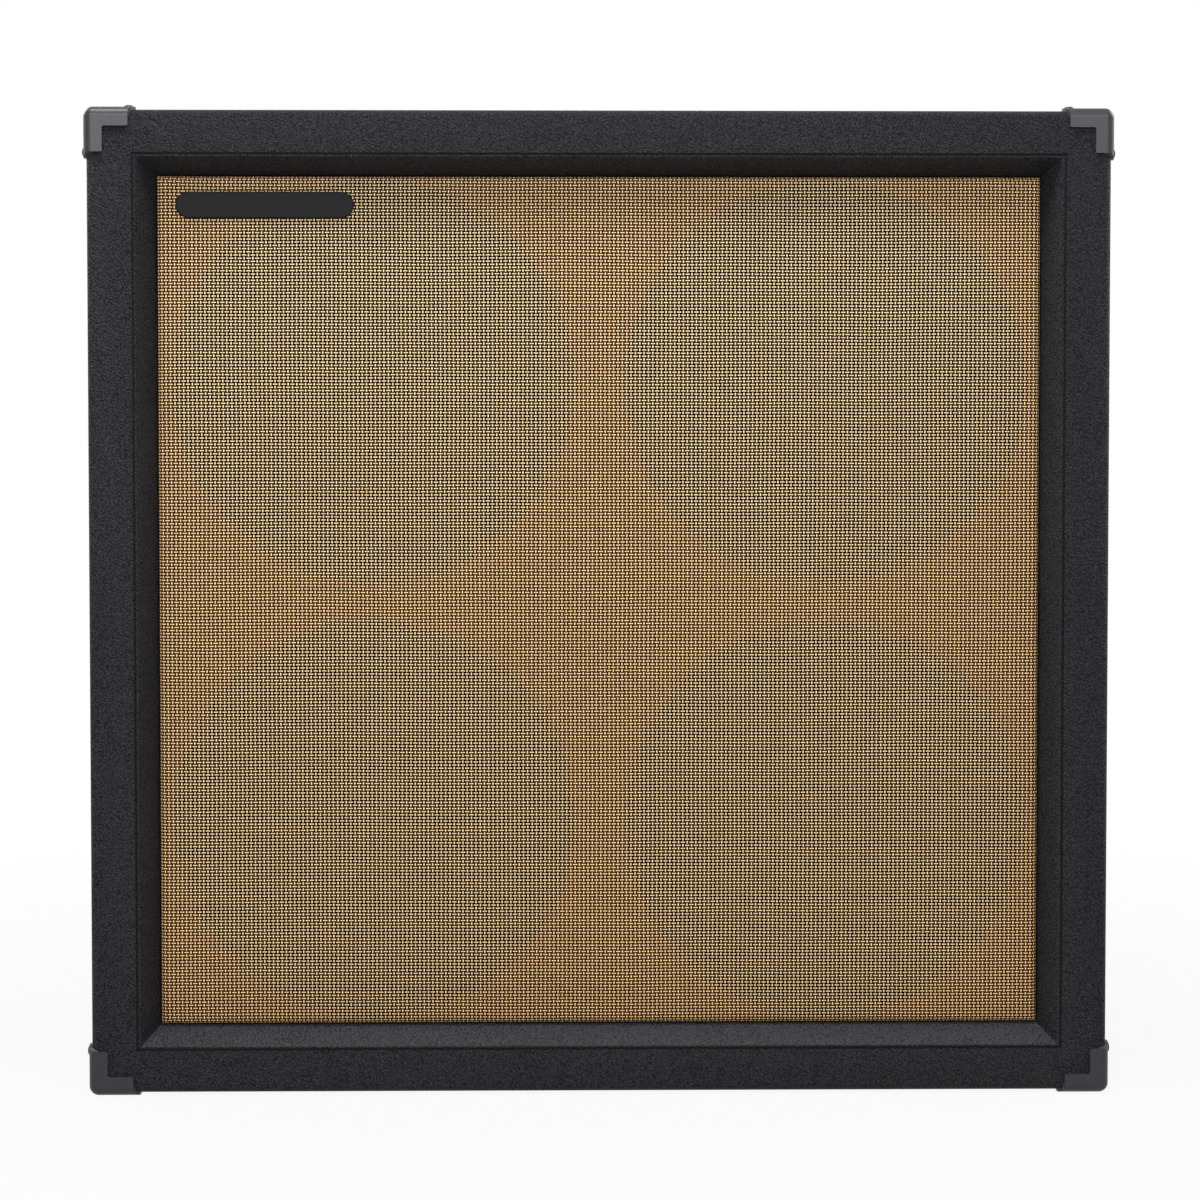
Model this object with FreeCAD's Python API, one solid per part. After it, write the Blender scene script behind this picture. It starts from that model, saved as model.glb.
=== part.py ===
import FreeCAD
import Part
import math
import os
from FreeCAD import Vector

# A straight four-by-twelve guitar speaker cabinet, in millimetres.
# +Z is up and the front faces -Y. The origin is on the floor, under the middle of the box.

# The box, measured over its vinyl, without the corner protectors
cabinet_width = 762.0
cabinet_height = 734.0
cabinet_depth = 356.0
panel_thickness = 18.0
vinyl_thickness = 0.8
edge_radius = 5.0
finger_count = 13
fit_clearance = 0.5
overreach = 1.0

# The bevelled front frame: a flat face, a bevel down to the grille, then a straight pocket
frame_face_side = 36.4
frame_face_level = 34.6
bevel_run = 11.6
bevel_depth = 26.0
frame_depth = 41.5

# The grille: a board with four openings, wrapped in cloth, on hook-and-loop pads
grille_setback = 22.0
grille_clearance = 0.7
cloth_thickness = 1.0
cloth_fold = 20.0
grille_board_thickness = 15.0
grille_board_rounding = 5.0
opening_margin_x = 10.0
opening_margin_z = 3.0
opening_web = 28.0
pad_size = 26.0
pad_corner = 3.0
pad_inset = 36.0

# The bare badge plate at the top left of the cloth
badge_length = 133.0
badge_height = 19.8
badge_thickness = 2.6
badge_edge = 0.7
badge_end_flat = 0.1
badge_from_left = 15.0
badge_from_top = 12.0
badge_pin_radius = 1.5
badge_pin_length = 8.0
badge_pin_spacing = 90.0

# The baffle and the screws that hold it to the frame
baffle_thickness = 18.0
baffle_screw_inset = 33.0
baffle_screw_length = 38.0
baffle_screw_steps = (-0.85, 0.0, 0.85)
baffle_screw_side_share = 0.7

# The back panel, set into the box on cleats, and the brace behind the baffle
back_thickness = 15.0
back_recess = 12.0
back_clearance = 1.0
cleat_size = 22.0
brace_size = 45.0
back_screw_length = 28.0
back_screw_head_extra = 0.6
back_screw_level_steps = (-0.96, -0.33, 0.33, 0.96)
back_screw_side_steps = (-0.5, 0.0, 0.5)

# Corner protectors: three L-shaped plates that meet round one corner of the box
corner_wall = 2.2
corner_relief = 0.6
corner_front_arm = 31.6
corner_front_width = 12.5
corner_front_tip_radius = 1.2
corner_plate_arm = 36.0
corner_plate_width = 15.0
corner_tip_radius = 5.0
corner_tab_radius = 10.0
corner_notch_radius = 1.5
corner_screw_along = 31.0
corner_screw_across = 8.0
corner_screw_length = 15.0

# Screws
screw_radius = 1.8
screw_head_radius = 3.8
screw_head_height = 1.6
screw_head_rim_share = 0.45
countersink_depth = 2.0
drill_clearance = 0.1

# The recessed handles in the sides
handle_height = 400.0
handle_flange_length = 178.0
handle_flange_height = 128.0
handle_mouth_length = 150.0
handle_mouth_height = 102.0
handle_depth = 46.0
handle_sheet = 1.6
handle_corner = 13.0
handle_flange_corner = 14.0
handle_draft = 8.0
handle_floor_draft = 16.0
dish_knee_share = 0.78
handle_screw_inset = 8.0
handle_screw_length = 15.0
grip_radius = 9.0
grip_rounding = 3.5
grip_bar_radius = 5.5
grip_bare_end = 16.0
grip_depth = 15.0
grip_raise = 20.0

# The recessed input dish in the back panel, with two sockets for 6.35 mm plugs
jack_height = 200.0
jack_flange_length = 124.0
jack_flange_height = 86.0
jack_mouth_length = 98.0
jack_mouth_height = 60.0
jack_depth = 30.0
jack_wall = 2.4
jack_corner = 8.0
jack_flange_corner = 9.0
jack_draft = 3.0
jack_floor_draft = 6.0
jack_screw_inset = 8.0
jack_screw_length = 13.0
jack_spacing = 44.0
jack_bore_radius = 3.25
jack_bore_depth = 26.0
jack_barrel_radius = 5.6
jack_barrel_length = 4.0
jack_body_size = 20.0
jack_body_depth = 24.0
jack_body_corner = 2.0
jack_nut_flats = 14.0
jack_nut_thickness = 3.0

# One driver, bolted to the back of the baffle. Its rim, cone and bolts follow the opening in front
# of it, measured from the edge of the baffle's hole, and its motor is the same in any size.
baffle_hole_step = 8.5
rim_overlap = 13.0
rim_ledge = 8.5
gasket_thickness = 3.0
basket_sheet = 1.5
basket_bend_share = 0.7
shoulder_step = 8.0
shoulder_depth = 16.0
shelf_outer = 78.0
shelf_inner = 64.0
shelf_depth = 70.0
cup_draft = 2.0
seat_inner = 30.0
seat_depth = 90.0
window_count = 6
window_front = 24.0
window_back = 62.0
window_corner = 8.0
spoke_front = 42.0
spoke_back = 30.0
bolt_circle_step = 6.5
bolt_radius = 2.4
bolt_head_radius = 4.6
bolt_head_height = 3.0
bolt_length = 20.0
nut_flange_radius = 9.0
nut_flange_thickness = 1.4
nut_barrel_radius = 3.4
nut_barrel_length = 11.0
cone_margin = 14.0
cone_edge_depth = 5.4
cone_curve_share = 0.42
cone_break_radius = 64.0
cone_break_depth = 32.0
cone_neck_depth = 62.0
cone_paper = 0.9
dust_cap_radius = 38.0
dust_cap_rise = 14.0
dust_cap_paper = 0.7
dust_cap_glue = 0.1
coil_radius = 22.0
former_thickness = 0.3
winding_thickness = 0.9
winding_length = 12.0
former_above_neck = 3.0
motion_gap = 0.3
surround_margin = 1.5
surround_flange = 6.0
surround_fold = 2.0
surround_sheet = 0.6
surround_folds = 3
spider_flange = 8.0
spider_fold = 2.2
spider_sheet = 0.6
spider_folds = 5
spider_cup = 3.4
pole_radius = 21.3
pole_rise = 1.0
gap_radius = 24.0
top_plate_radius = 65.0
top_plate_thickness = 8.0
magnet_radius = 78.0
magnet_inner = 34.0
magnet_thickness = 20.0
back_plate_radius = 68.0
back_plate_thickness = 8.0
terminal_width = 22.0
terminal_thickness = 2.0
lug_width = 4.0
lug_thickness = 0.8
lug_setback = 2.0
lug_reach = 95.0

# Places worked out from the sizes above
half_width = cabinet_width / 2
front = -cabinet_depth / 2
back = cabinet_depth / 2
bottom = corner_wall
top = bottom + cabinet_height
middle = (bottom + top) / 2
half_height = cabinet_height / 2
inner_half_width = half_width - vinyl_thickness - panel_thickness
inner_half_height = half_height - vinyl_thickness - panel_thickness
frame_half_width = half_width - frame_face_side
frame_half_height = half_height - frame_face_level
pocket_half_width = frame_half_width - bevel_run
pocket_half_height = frame_half_height - bevel_run
frame_back = front + frame_depth
baffle_back = frame_back + baffle_thickness
back_outer = back - back_recess
back_inner = back_outer - back_thickness
cloth_half_width = pocket_half_width - grille_clearance
cloth_half_height = pocket_half_height - grille_clearance
board_half_width = cloth_half_width - cloth_thickness
board_half_height = cloth_half_height - cloth_thickness
cloth_front = front + grille_setback
board_front = cloth_front + cloth_thickness
board_back = board_front + grille_board_thickness
room_x = board_half_width - opening_margin_x
room_z = board_half_height - opening_margin_z
grille_hole_radius = min(room_x - opening_web / 2, room_z - opening_web / 2) / 2
driver_centres = [
    (side * (room_x - grille_hole_radius), middle + level * (room_z - grille_hole_radius))
    for level in (1, -1)
    for side in (-1, 1)
]
baffle_hole_radius = grille_hole_radius - baffle_hole_step
rim_radius = baffle_hole_radius + rim_overlap
rim_inner = baffle_hole_radius - rim_ledge
bolt_circle_radius = baffle_hole_radius + bolt_circle_step
shoulder_radius = rim_inner - shoulder_step
surround_outer = baffle_hole_radius - surround_margin
cone_radius = rim_inner - cone_margin
cup_radius = shelf_inner - cup_draft

PLACE = {
    "xy": lambda u, v, w: Vector(u, v, w),
    "xz": lambda u, v, w: Vector(u, w, v),
    "yz": lambda u, v, w: Vector(w, u, v),
}
NORMAL = {"xy": Vector(0, 0, 1), "xz": Vector(0, 1, 0), "yz": Vector(1, 0, 0)}
X_AXIS = Vector(1, 0, 0)
Y_AXIS = Vector(0, 1, 0)
Z_AXIS = Vector(0, 0, 1)


def rect(u0, u1, v0, v1, radius=0.0):
    """The four corners of a rectangle, each with the same rounding."""
    return [(u0, v0, radius), (u1, v0, radius), (u1, v1, radius), (u0, v1, radius)]


def outline(corners, plane, level):
    """A closed wire through corners (u, v, radius) in a plane, each corner rounded by its radius."""
    spots = [Vector(u, v, 0) for u, v, _ in corners]
    ends = []
    for i, (_, _, radius) in enumerate(corners):
        before = (spots[i - 1] - spots[i]).normalize()
        after = (spots[(i + 1) % len(spots)] - spots[i]).normalize()
        if radius == 0:
            ends.append((spots[i], None, spots[i]))
            continue
        half = before.getAngle(after) / 2
        setback = radius / math.tan(half)
        bisector = (before + after).normalize()
        nearest = spots[i] + bisector * (radius / math.sin(half) - radius)
        ends.append((spots[i] + before * setback, nearest, spots[i] + after * setback))
    edges = []
    for i, (start, nearest, finish) in enumerate(ends):
        following = ends[(i + 1) % len(ends)][0]
        points = [PLACE[plane](p.x, p.y, level) for p in (start, nearest or start, finish, following)]
        if nearest is not None:
            edges.append(Part.Arc(points[0], points[1], points[2]).toShape())
        if points[2].distanceToPoint(points[3]) > 1e-6:
            edges.append(Part.LineSegment(points[2], points[3]).toShape())
    return Part.Wire(edges)


def slab(corners, plane, start, finish):
    """A plate with the given outline, between two levels of its plane."""
    return Part.Face(outline(corners, plane, start)).extrude(NORMAL[plane] * (finish - start))


def block(x0, x1, y0, y1, z0, z1):
    return Part.makeBox(x1 - x0, y1 - y0, z1 - z0, Vector(x0, y0, z0))


def box_round_cabinet(inset, radius):
    """The whole box as a solid with rounded edges, inset from the vinyl's outside."""
    side = half_width - inset
    solid = block(-side, side, front + inset, back - inset, bottom + inset, top - inset)
    return solid.makeFillet(radius, solid.Edges)


def spun(points):
    """A solid turned about Y from a closed outline of (radius, depth) points."""
    spots = [Vector(r, w, 0) for r, w in points]
    return Part.Face(Part.makePolygon(spots + spots[:1])).revolve(Vector(), Y_AXIS, 360)


def turned(solid, base, axis):
    """A solid that was turned about +Y, moved so that its own +Y runs along another axis."""
    moved = solid.copy()
    moved.Placement = FreeCAD.Placement(base, FreeCAD.Rotation(Y_AXIS, axis))
    return moved


def group(solids):
    return Part.makeCompound(solids)


def lines(points):
    """Straight edges through (radius, y) points."""
    spots = [Vector(r, y, 0) for r, y in points]
    return [Part.LineSegment(a, b).toShape() for a, b in zip(spots, spots[1:])]


def dome(rim_radius, rim_level, crest_level):
    """The arc from a rim to the crest on the Y axis, with its centre on that axis."""
    rise = crest_level - rim_level
    ball = (rim_radius ** 2 + rise ** 2) / (2 * abs(rise))
    sign = 1 if rise > 0 else -1
    centre = crest_level - sign * ball
    half = math.asin(rim_radius / ball) / 2
    between = Vector(ball * math.sin(half), centre + sign * ball * math.cos(half), 0)
    return Part.Arc(Vector(rim_radius, rim_level, 0), between, Vector(0, crest_level, 0)).toShape()


def about_y(edges):
    return Part.Face(Part.Wire(edges)).revolve(Vector(), Y_AXIS, 360)


def pan_screw(length, radius, head_radius, head_height):
    """A screw along +Y: its domed head stands on y = 0 and its blunt shank runs to -length."""
    shoulder = head_height * screw_head_rim_share
    edges = lines(
        [
            (0, -length),
            (radius / 2, -length),
            (radius, radius - length),
            (radius, 0),
            (head_radius, 0),
            (head_radius, shoulder),
        ]
    )
    edges.append(dome(head_radius, shoulder, head_height))
    return about_y(edges + lines([(0, head_height), (0, -length)]))


def countersunk_screw(length, raised):
    """A countersunk screw along +Y, with its rim at y = 0 and a domed head if raised."""
    edges = lines(
        [
            (0, -length),
            (screw_radius / 2, -length),
            (screw_radius, screw_radius - length),
            (screw_radius, -countersink_depth),
            (screw_head_radius, 0),
        ]
    )
    if raised:
        edges.append(dome(screw_head_radius, 0, screw_head_height))
        return about_y(edges + lines([(0, screw_head_height), (0, -length)]))
    return about_y(edges + lines([(screw_head_radius, 0), (0, 0), (0, -length)]))


def drill(spots, axis, radius, length):
    """Holes that run from each spot against the axis, as one cutter."""
    reach = radius + drill_clearance
    return group([Part.makeCylinder(reach, length, spot, axis * -1) for spot in spots])


def countersink(spots, axis):
    """Cutters for countersunk heads whose rims lie at the spots."""
    cones = []
    for spot in spots:
        low = screw_radius + drill_clearance
        high = screw_head_radius + drill_clearance
        cones.append(Part.makeCone(low, high, countersink_depth, spot - axis * countersink_depth, axis))
    return group(cones)


# Corner protectors and their screws
CORNERS = [
    (sx, sy, sz)
    for sy in (-1, 1)
    for sz in (1, -1)
    for sx in (-1, 1)
]


def corner_name(sx, sy, sz):
    depth = "front" if sy < 0 else "rear"
    level = "top" if sz > 0 else "bottom"
    side = "left" if sx < 0 else "right"
    return "corner_%s_%s_%s" % (depth, level, side)


def l_plate(arm, width, tip, first_tab=0.0, second_tab=0.0):
    """An L with its heel at the corner of the box and two equal arms, rounded at the tips.

    An arm with a tab's rounding is rounded on its heel side too.
    """
    heel = -corner_wall
    return [
        (heel, heel, 0),
        (arm, heel, first_tab),
        (arm, width, tip),
        (width, width, corner_notch_radius),
        (width, arm, tip),
        (heel, arm, second_tab),
    ]


def corner_blank():
    """One protector, round a corner of the box that lies at the origin and fills +X, +Y and +Z."""
    size = 3 * corner_plate_arm
    outside = Part.makeBox(size, size, size, Vector(-corner_wall, -corner_wall, -corner_wall))
    inside = Part.makeBox(size, size, size)
    shells = []
    for solid, low, radius in (
        (outside, -corner_wall, edge_radius + corner_wall),
        (inside, 0.0, edge_radius - corner_relief),
    ):
        edges = []
        for edge in solid.Edges:
            centre = edge.CenterOfMass
            near = [abs(value - low) < 1e-6 for value in (centre.x, centre.y, centre.z)]
            if sum(near) == 2:
                edges.append(edge)
        shells.append(solid.makeFillet(radius, edges))
    front_plate = l_plate(corner_front_arm, corner_front_width, corner_front_tip_radius)
    sizes = (corner_plate_arm, corner_plate_width, corner_tip_radius)
    level_plate = l_plate(*sizes, first_tab=corner_tab_radius)
    side_plate = l_plate(*sizes, second_tab=corner_tab_radius)
    region = slab(front_plate, "xz", -corner_wall, edge_radius)
    region = region.fuse(slab(level_plate, "xy", -corner_wall, edge_radius))
    region = region.fuse(slab(side_plate, "yz", -corner_wall, edge_radius))
    return shells[0].cut(shells[1]).common(region).removeSplitter()


def at_corner(shape, sx, sy, sz):
    """A shape made round a corner at the origin, mirrored and moved to one of the box's corners."""
    placed = shape
    for sign, axis in ((sx, X_AXIS), (sy, Y_AXIS), (sz, Z_AXIS)):
        if sign > 0:
            placed = placed.mirror(Vector(), axis)
    placed = placed.copy()
    placed.translate(Vector(sx * half_width, sy * cabinet_depth / 2, middle + sz * half_height))
    return placed


def corner_screw_spots(sx, sy, sz):
    """Where the two screw heads lie: on the top or bottom plate, and on the side plate."""
    depth = sy * (cabinet_depth / 2 - corner_screw_across)
    level_spot = Vector(
        sx * (half_width - corner_screw_along), depth, middle + sz * (half_height + corner_wall)
    )
    side_spot = Vector(
        sx * (half_width + corner_wall), depth, middle + sz * (half_height - corner_screw_along)
    )
    return level_spot, side_spot


level_spots = {1: [], -1: []}
side_spots = {1: [], -1: []}
for sx, sy, sz in CORNERS:
    level_spot, side_spot = corner_screw_spots(sx, sy, sz)
    level_spots[sz].append(level_spot)
    side_spots[sx].append(side_spot)


def corner_protectors():
    blank = corner_blank()
    protectors = {}
    for sx, sy, sz in CORNERS:
        level_spot, side_spot = corner_screw_spots(sx, sy, sz)
        solid = at_corner(blank, sx, sy, sz)
        solid = solid.cut(countersink([level_spot], Z_AXIS * sz))
        solid = solid.cut(countersink([side_spot], X_AXIS * sx))
        reach = corner_screw_length
        solid = solid.cut(drill([level_spot], Z_AXIS * sz, screw_radius, reach))
        solid = solid.cut(drill([side_spot], X_AXIS * sx, screw_radius, reach))
        protectors[corner_name(sx, sy, sz)] = solid
    return protectors


def corner_screws():
    """Domed screws on top and at the sides, and flat ones underneath, where the box stands."""
    domed = countersunk_screw(corner_screw_length, True)
    flat = countersunk_screw(corner_screw_length, False)
    screws = [turned(domed, spot, Z_AXIS) for spot in level_spots[1]]
    screws += [turned(flat, spot, Z_AXIS * -1) for spot in level_spots[-1]]
    for sx in (-1, 1):
        screws += [turned(domed, spot, X_AXIS * sx) for spot in side_spots[sx]]
    return group(screws)


# Dishes: the handles in the sides and the input dish in the back


def dish_space(plane, centre, half, depth, inset, corner, drafts, level, outward):
    """The tapered space of a dish, from its mouth past a knee to its floor, inset by the wall."""
    steps = ((outward, 0.0), (-dish_knee_share * depth, drafts[0]), (inset - depth, drafts[1]))
    wires = []
    for reach, shrink in steps:
        half_u = half[0] - inset - shrink
        half_v = half[1] - inset - shrink
        corners = rect(
            centre[0] - half_u, centre[0] + half_u, centre[1] - half_v, centre[1] + half_v, corner - inset
        )
        wires.append(outline(corners, plane, level + reach))
    return Part.makeLoft(wires, True, True)


def corner_spots(centre, half_u, half_v):
    return [(centre[0] + i * half_u, centre[1] + j * half_v) for i in (-1, 1) for j in (-1, 1)]


handle_centre = (0.0, handle_height)
handle_mouth = (handle_mouth_length / 2, handle_mouth_height / 2)
handle_drafts = (handle_draft, handle_floor_draft)
handle_holes = corner_spots(
    handle_centre,
    handle_flange_length / 2 - handle_screw_inset,
    handle_flange_height / 2 - handle_screw_inset,
)


def handle_spots(side):
    """Where the handle's screw heads lie, on the flange."""
    return [Vector(side * (half_width + handle_sheet), y, z) for y, z in handle_holes]


def handle_cut_out():
    """The hole for both handles, right across the box."""
    corners = rect(
        -handle_mouth[0] - fit_clearance,
        handle_mouth[0] + fit_clearance,
        handle_height - handle_mouth[1] - fit_clearance,
        handle_height + handle_mouth[1] + fit_clearance,
        handle_corner,
    )
    return slab(corners, "yz", -cabinet_width, cabinet_width)


def handle_space(inset, outward):
    """The right-hand dish's pocket, measured inside the sheet or outside it."""
    sizes = (handle_mouth, handle_depth, inset, handle_corner, handle_drafts)
    return dish_space("yz", handle_centre, *sizes, half_width, outward)


def handle_dish():
    """The right-hand dish: a pressed flange with a tapered pocket."""
    flange = slab(
        rect(
            -handle_flange_length / 2,
            handle_flange_length / 2,
            handle_height - handle_flange_height / 2,
            handle_height + handle_flange_height / 2,
            handle_flange_corner,
        ),
        "yz",
        half_width,
        half_width + handle_sheet,
    )
    pocket = handle_space(0.0, 0.0)
    dish = flange.fuse(pocket).cut(handle_space(handle_sheet, handle_sheet)).removeSplitter()
    return dish.cut(drill(handle_spots(1), X_AXIS, screw_radius, handle_screw_length))


def handle_grip():
    """The right-hand grip: a bar with its ends flush on the dish's end walls, in a round-ended sleeve."""
    centre = Vector(half_width - grip_depth, 0, handle_height + grip_raise)
    reach = handle_mouth_length
    bar = Part.makeCylinder(grip_bar_radius, 2 * reach, centre - Y_AXIS * reach, Y_AXIS)
    bar = bar.common(handle_space(handle_sheet, handle_sheet))
    half = handle_mouth_length / 2 - grip_bare_end
    sleeve = Part.makeCylinder(grip_radius, 2 * half, centre - Y_AXIS * half, Y_AXIS)
    sleeve = sleeve.makeFillet(grip_rounding, [edge for edge in sleeve.Edges if edge.isClosed()])
    return bar.fuse(sleeve).removeSplitter()


def handle_screws():
    screw = pan_screw(handle_screw_length, screw_radius, screw_head_radius, screw_head_height)
    return group([turned(screw, spot, X_AXIS * side) for side in (-1, 1) for spot in handle_spots(side)])


jack_centre = (0.0, jack_height)
jack_mouth = (jack_mouth_length / 2, jack_mouth_height / 2)
jack_drafts = (jack_draft, jack_floor_draft)
jack_floor = back_outer - jack_depth
jack_floor_inside = jack_floor + jack_wall
jack_mouth_level = jack_floor_inside + jack_barrel_length
jack_screw_spots = [
    Vector(x, back_outer + jack_wall, z)
    for x, z in corner_spots(
        jack_centre, jack_flange_length / 2 - jack_screw_inset, jack_flange_height / 2 - jack_screw_inset
    )
]


def jack_cut_out():
    corners = rect(
        -jack_mouth[0] - fit_clearance,
        jack_mouth[0] + fit_clearance,
        jack_height - jack_mouth[1] - fit_clearance,
        jack_height + jack_mouth[1] + fit_clearance,
        jack_corner,
    )
    return slab(corners, "xz", back_inner - overreach, back_outer + overreach)


def jack_space(inset, outward):
    """The input dish's pocket, measured inside its wall or outside it."""
    sizes = (jack_mouth, jack_depth, inset, jack_corner, jack_drafts)
    return dish_space("xz", jack_centre, *sizes, back_outer, outward)


def jack_dish():
    """A moulded dish with a flange on the back panel and the two sockets in its floor."""
    flange = slab(
        rect(
            -jack_flange_length / 2,
            jack_flange_length / 2,
            jack_height - jack_flange_height / 2,
            jack_height + jack_flange_height / 2,
            jack_flange_corner,
        ),
        "xz",
        back_outer,
        back_outer + jack_wall,
    )
    dish = flange.fuse(jack_space(0.0, 0.0)).cut(jack_space(jack_wall, jack_wall)).removeSplitter()
    for side in (-1, 1):
        start = Vector(side * jack_spacing / 2, jack_floor - overreach, jack_height)
        reach = jack_wall + 2 * overreach
        dish = dish.cut(Part.makeCylinder(jack_barrel_radius + drill_clearance, reach, start, Y_AXIS))
    return dish.cut(drill(jack_screw_spots, Y_AXIS, screw_radius, jack_screw_length))


def input_jacks():
    """Two sockets: a body behind the floor, a barrel through it, and a blind bore for the plug."""
    jacks = []
    for side in (-1, 1):
        x = side * jack_spacing / 2
        half = jack_body_size / 2
        body = slab(
            rect(x - half, x + half, jack_height - half, jack_height + half, jack_body_corner),
            "xz",
            jack_floor - jack_body_depth,
            jack_floor,
        )
        start = Vector(x, jack_floor - overreach, jack_height)
        reach = jack_mouth_level - jack_floor + overreach
        barrel = Part.makeCylinder(jack_barrel_radius, reach, start, Y_AXIS)
        end = Vector(x, jack_mouth_level - jack_bore_depth, jack_height)
        bore = Part.makeCylinder(jack_bore_radius, jack_bore_depth + overreach, end, Y_AXIS)
        jacks.append(body.fuse(barrel).cut(bore).removeSplitter())
    return group(jacks)


def jack_nuts():
    nuts = []
    for side in (-1, 1):
        x = side * jack_spacing / 2
        reach = jack_nut_flats / 2 / math.cos(math.pi / 6)
        corners = [
            (x + reach * math.cos(i * math.pi / 3), jack_height + reach * math.sin(i * math.pi / 3), 0)
            for i in range(6)
        ]
        nut = slab(corners, "xz", jack_floor_inside, jack_floor_inside + jack_nut_thickness)
        start = Vector(x, jack_floor_inside - overreach, jack_height)
        reach = jack_nut_thickness + 2 * overreach
        hole = Part.makeCylinder(jack_barrel_radius + drill_clearance, reach, start, Y_AXIS)
        nuts.append(nut.cut(hole))
    return group(nuts)


def jack_dish_screws():
    screw = pan_screw(jack_screw_length, screw_radius, screw_head_radius, screw_head_height)
    return group([turned(screw, spot, Y_AXIS) for spot in jack_screw_spots])


# The carcass: four panels with finger joints, the mitred front frame and the covering
wood_depth = cabinet_depth - 2 * vinyl_thickness


def fingers(outer, inner, first):
    """Half a panel's outline, (reach, y) from front to back: every other finger reaches the outside."""
    pitch = wood_depth / finger_count
    start = front + vinyl_thickness
    points = []
    for i in range(finger_count):
        reach = outer if i % 2 == first else inner
        points.append((reach, start + i * pitch))
        points.append((reach, start + (i + 1) * pitch))
    return points


def finger_panel(outer, inner, first, centre, swap):
    edge = fingers(outer, inner, first)
    far = [(centre + reach, y, 0) for reach, y in edge]
    near = [(centre - reach, y, 0) for reach, y in reversed(edge)]
    corners = far + near
    if swap:
        corners = [(y, u, r) for u, y, r in corners]
    return corners


def level_panel(side):
    """The top or bottom panel, rounded along the box's edges, with its screws' pilot holes."""
    corners = finger_panel(half_width - vinyl_thickness, inner_half_width, 0, 0.0, False)
    start = middle + side * inner_half_height
    panel = slab(corners, "xy", start, start + side * panel_thickness).common(wood)
    return panel.cut(drill(level_spots[side], Z_AXIS * side, screw_radius, corner_screw_length))


def side_panel(side):
    corners = finger_panel(half_height - vinyl_thickness, inner_half_height, 1, middle, True)
    start = side * inner_half_width
    panel = slab(corners, "yz", start, start + side * panel_thickness).common(wood)
    panel = panel.cut(handle_cut_out())
    panel = panel.cut(drill(side_spots[side], X_AXIS * side, screw_radius, corner_screw_length))
    return panel.cut(drill(handle_spots(side), X_AXIS * side, screw_radius, handle_screw_length))


def centred(half_u, half_v):
    return rect(-half_u, half_u, middle - half_v, middle + half_v)


def front_recess(skin):
    """The space inside the front frame, larger all round by a skin's thickness."""
    slope = bevel_run / bevel_depth
    shift = skin * math.hypot(bevel_run, bevel_depth) / bevel_depth
    knee = bevel_depth * (1 + (shift - skin) / bevel_run)
    wires = []
    for depth in (-overreach, knee):
        wires.append(
            outline(
                centred(
                    frame_half_width - slope * depth + shift,
                    frame_half_height - slope * depth + shift,
                ),
                "xz",
                front + depth,
            )
        )
    bevel = Part.makeLoft(wires, True, True)
    pocket = slab(
        centred(pocket_half_width + skin, pocket_half_height + skin), "xz", front + knee, frame_back
    )
    return bevel.fuse(pocket).removeSplitter()


def front_frame():
    """The four members of the frame, mitred at the corners."""
    ring = block(
        -inner_half_width,
        inner_half_width,
        front + vinyl_thickness,
        frame_back,
        middle - inner_half_height,
        middle + inner_half_height,
    ).cut(front_recess(vinyl_thickness))
    spread = 2 * frame_face_side
    reach = 2 * bevel_run
    holes = drill(baffle_screw_spots(), Y_AXIS, screw_radius, baffle_screw_length)
    places = (("top", 1, False), ("bottom", -1, False), ("left", -1, True), ("right", 1, True))
    members = {}
    for name, side, upright in places:
        long, short = frame_half_width, frame_half_height
        if upright:
            long, short = short, long
        mitred = [
            (-long - spread, side * (short + spread)),
            (long + spread, side * (short + spread)),
            (long - reach, side * (short - reach)),
            (reach - long, side * (short - reach)),
        ]
        corners = [(v, middle + u, 0) if upright else (u, middle + v, 0) for u, v in mitred]
        wedge = slab(corners, "xz", front - overreach, frame_back + overreach)
        members["front_frame_" + name] = ring.common(wedge).cut(holes)
    return members


def vinyl_covering():
    """One skin over the outside, down the front bevel and round the rear edge to the back panel."""
    outside = box_round_cabinet(0.0, edge_radius)
    skin = outside.cut(wood)
    w, h = inner_half_width, inner_half_height
    behind = back + overreach
    rear_wood = slab(centred(w, h), "xz", back_inner, behind)
    rear_space = slab(centred(w - vinyl_thickness, h - vinyl_thickness), "xz", back_inner, behind)
    recess_wood = front_recess(vinyl_thickness)
    bevel_lining = recess_wood.cut(front_recess(0.0)).common(outside)
    rear_lining = rear_wood.cut(rear_space).common(outside)
    skin = skin.cut(recess_wood).cut(rear_wood).fuse([bevel_lining, rear_lining]).removeSplitter()
    skin = skin.cut(handle_cut_out())
    for side in (-1, 1):
        skin = skin.cut(drill(side_spots[side], X_AXIS * side, screw_radius, corner_screw_length))
        skin = skin.cut(drill(level_spots[side], Z_AXIS * side, screw_radius, corner_screw_length))
        skin = skin.cut(drill(handle_spots(side), X_AXIS * side, screw_radius, handle_screw_length))
    return skin


# The grille


def badge_centre():
    x = -cloth_half_width + badge_from_left + badge_length / 2
    z = middle + cloth_half_height - badge_from_top - badge_height / 2
    return x, z


def badge_pins(radius, length):
    x, z = badge_centre()
    pins = []
    for side in (-1, 1):
        start = Vector(x + side * badge_pin_spacing / 2, cloth_front - overreach, z)
        pins.append(Part.makeCylinder(radius, length + overreach, start, Y_AXIS))
    return pins


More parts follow.
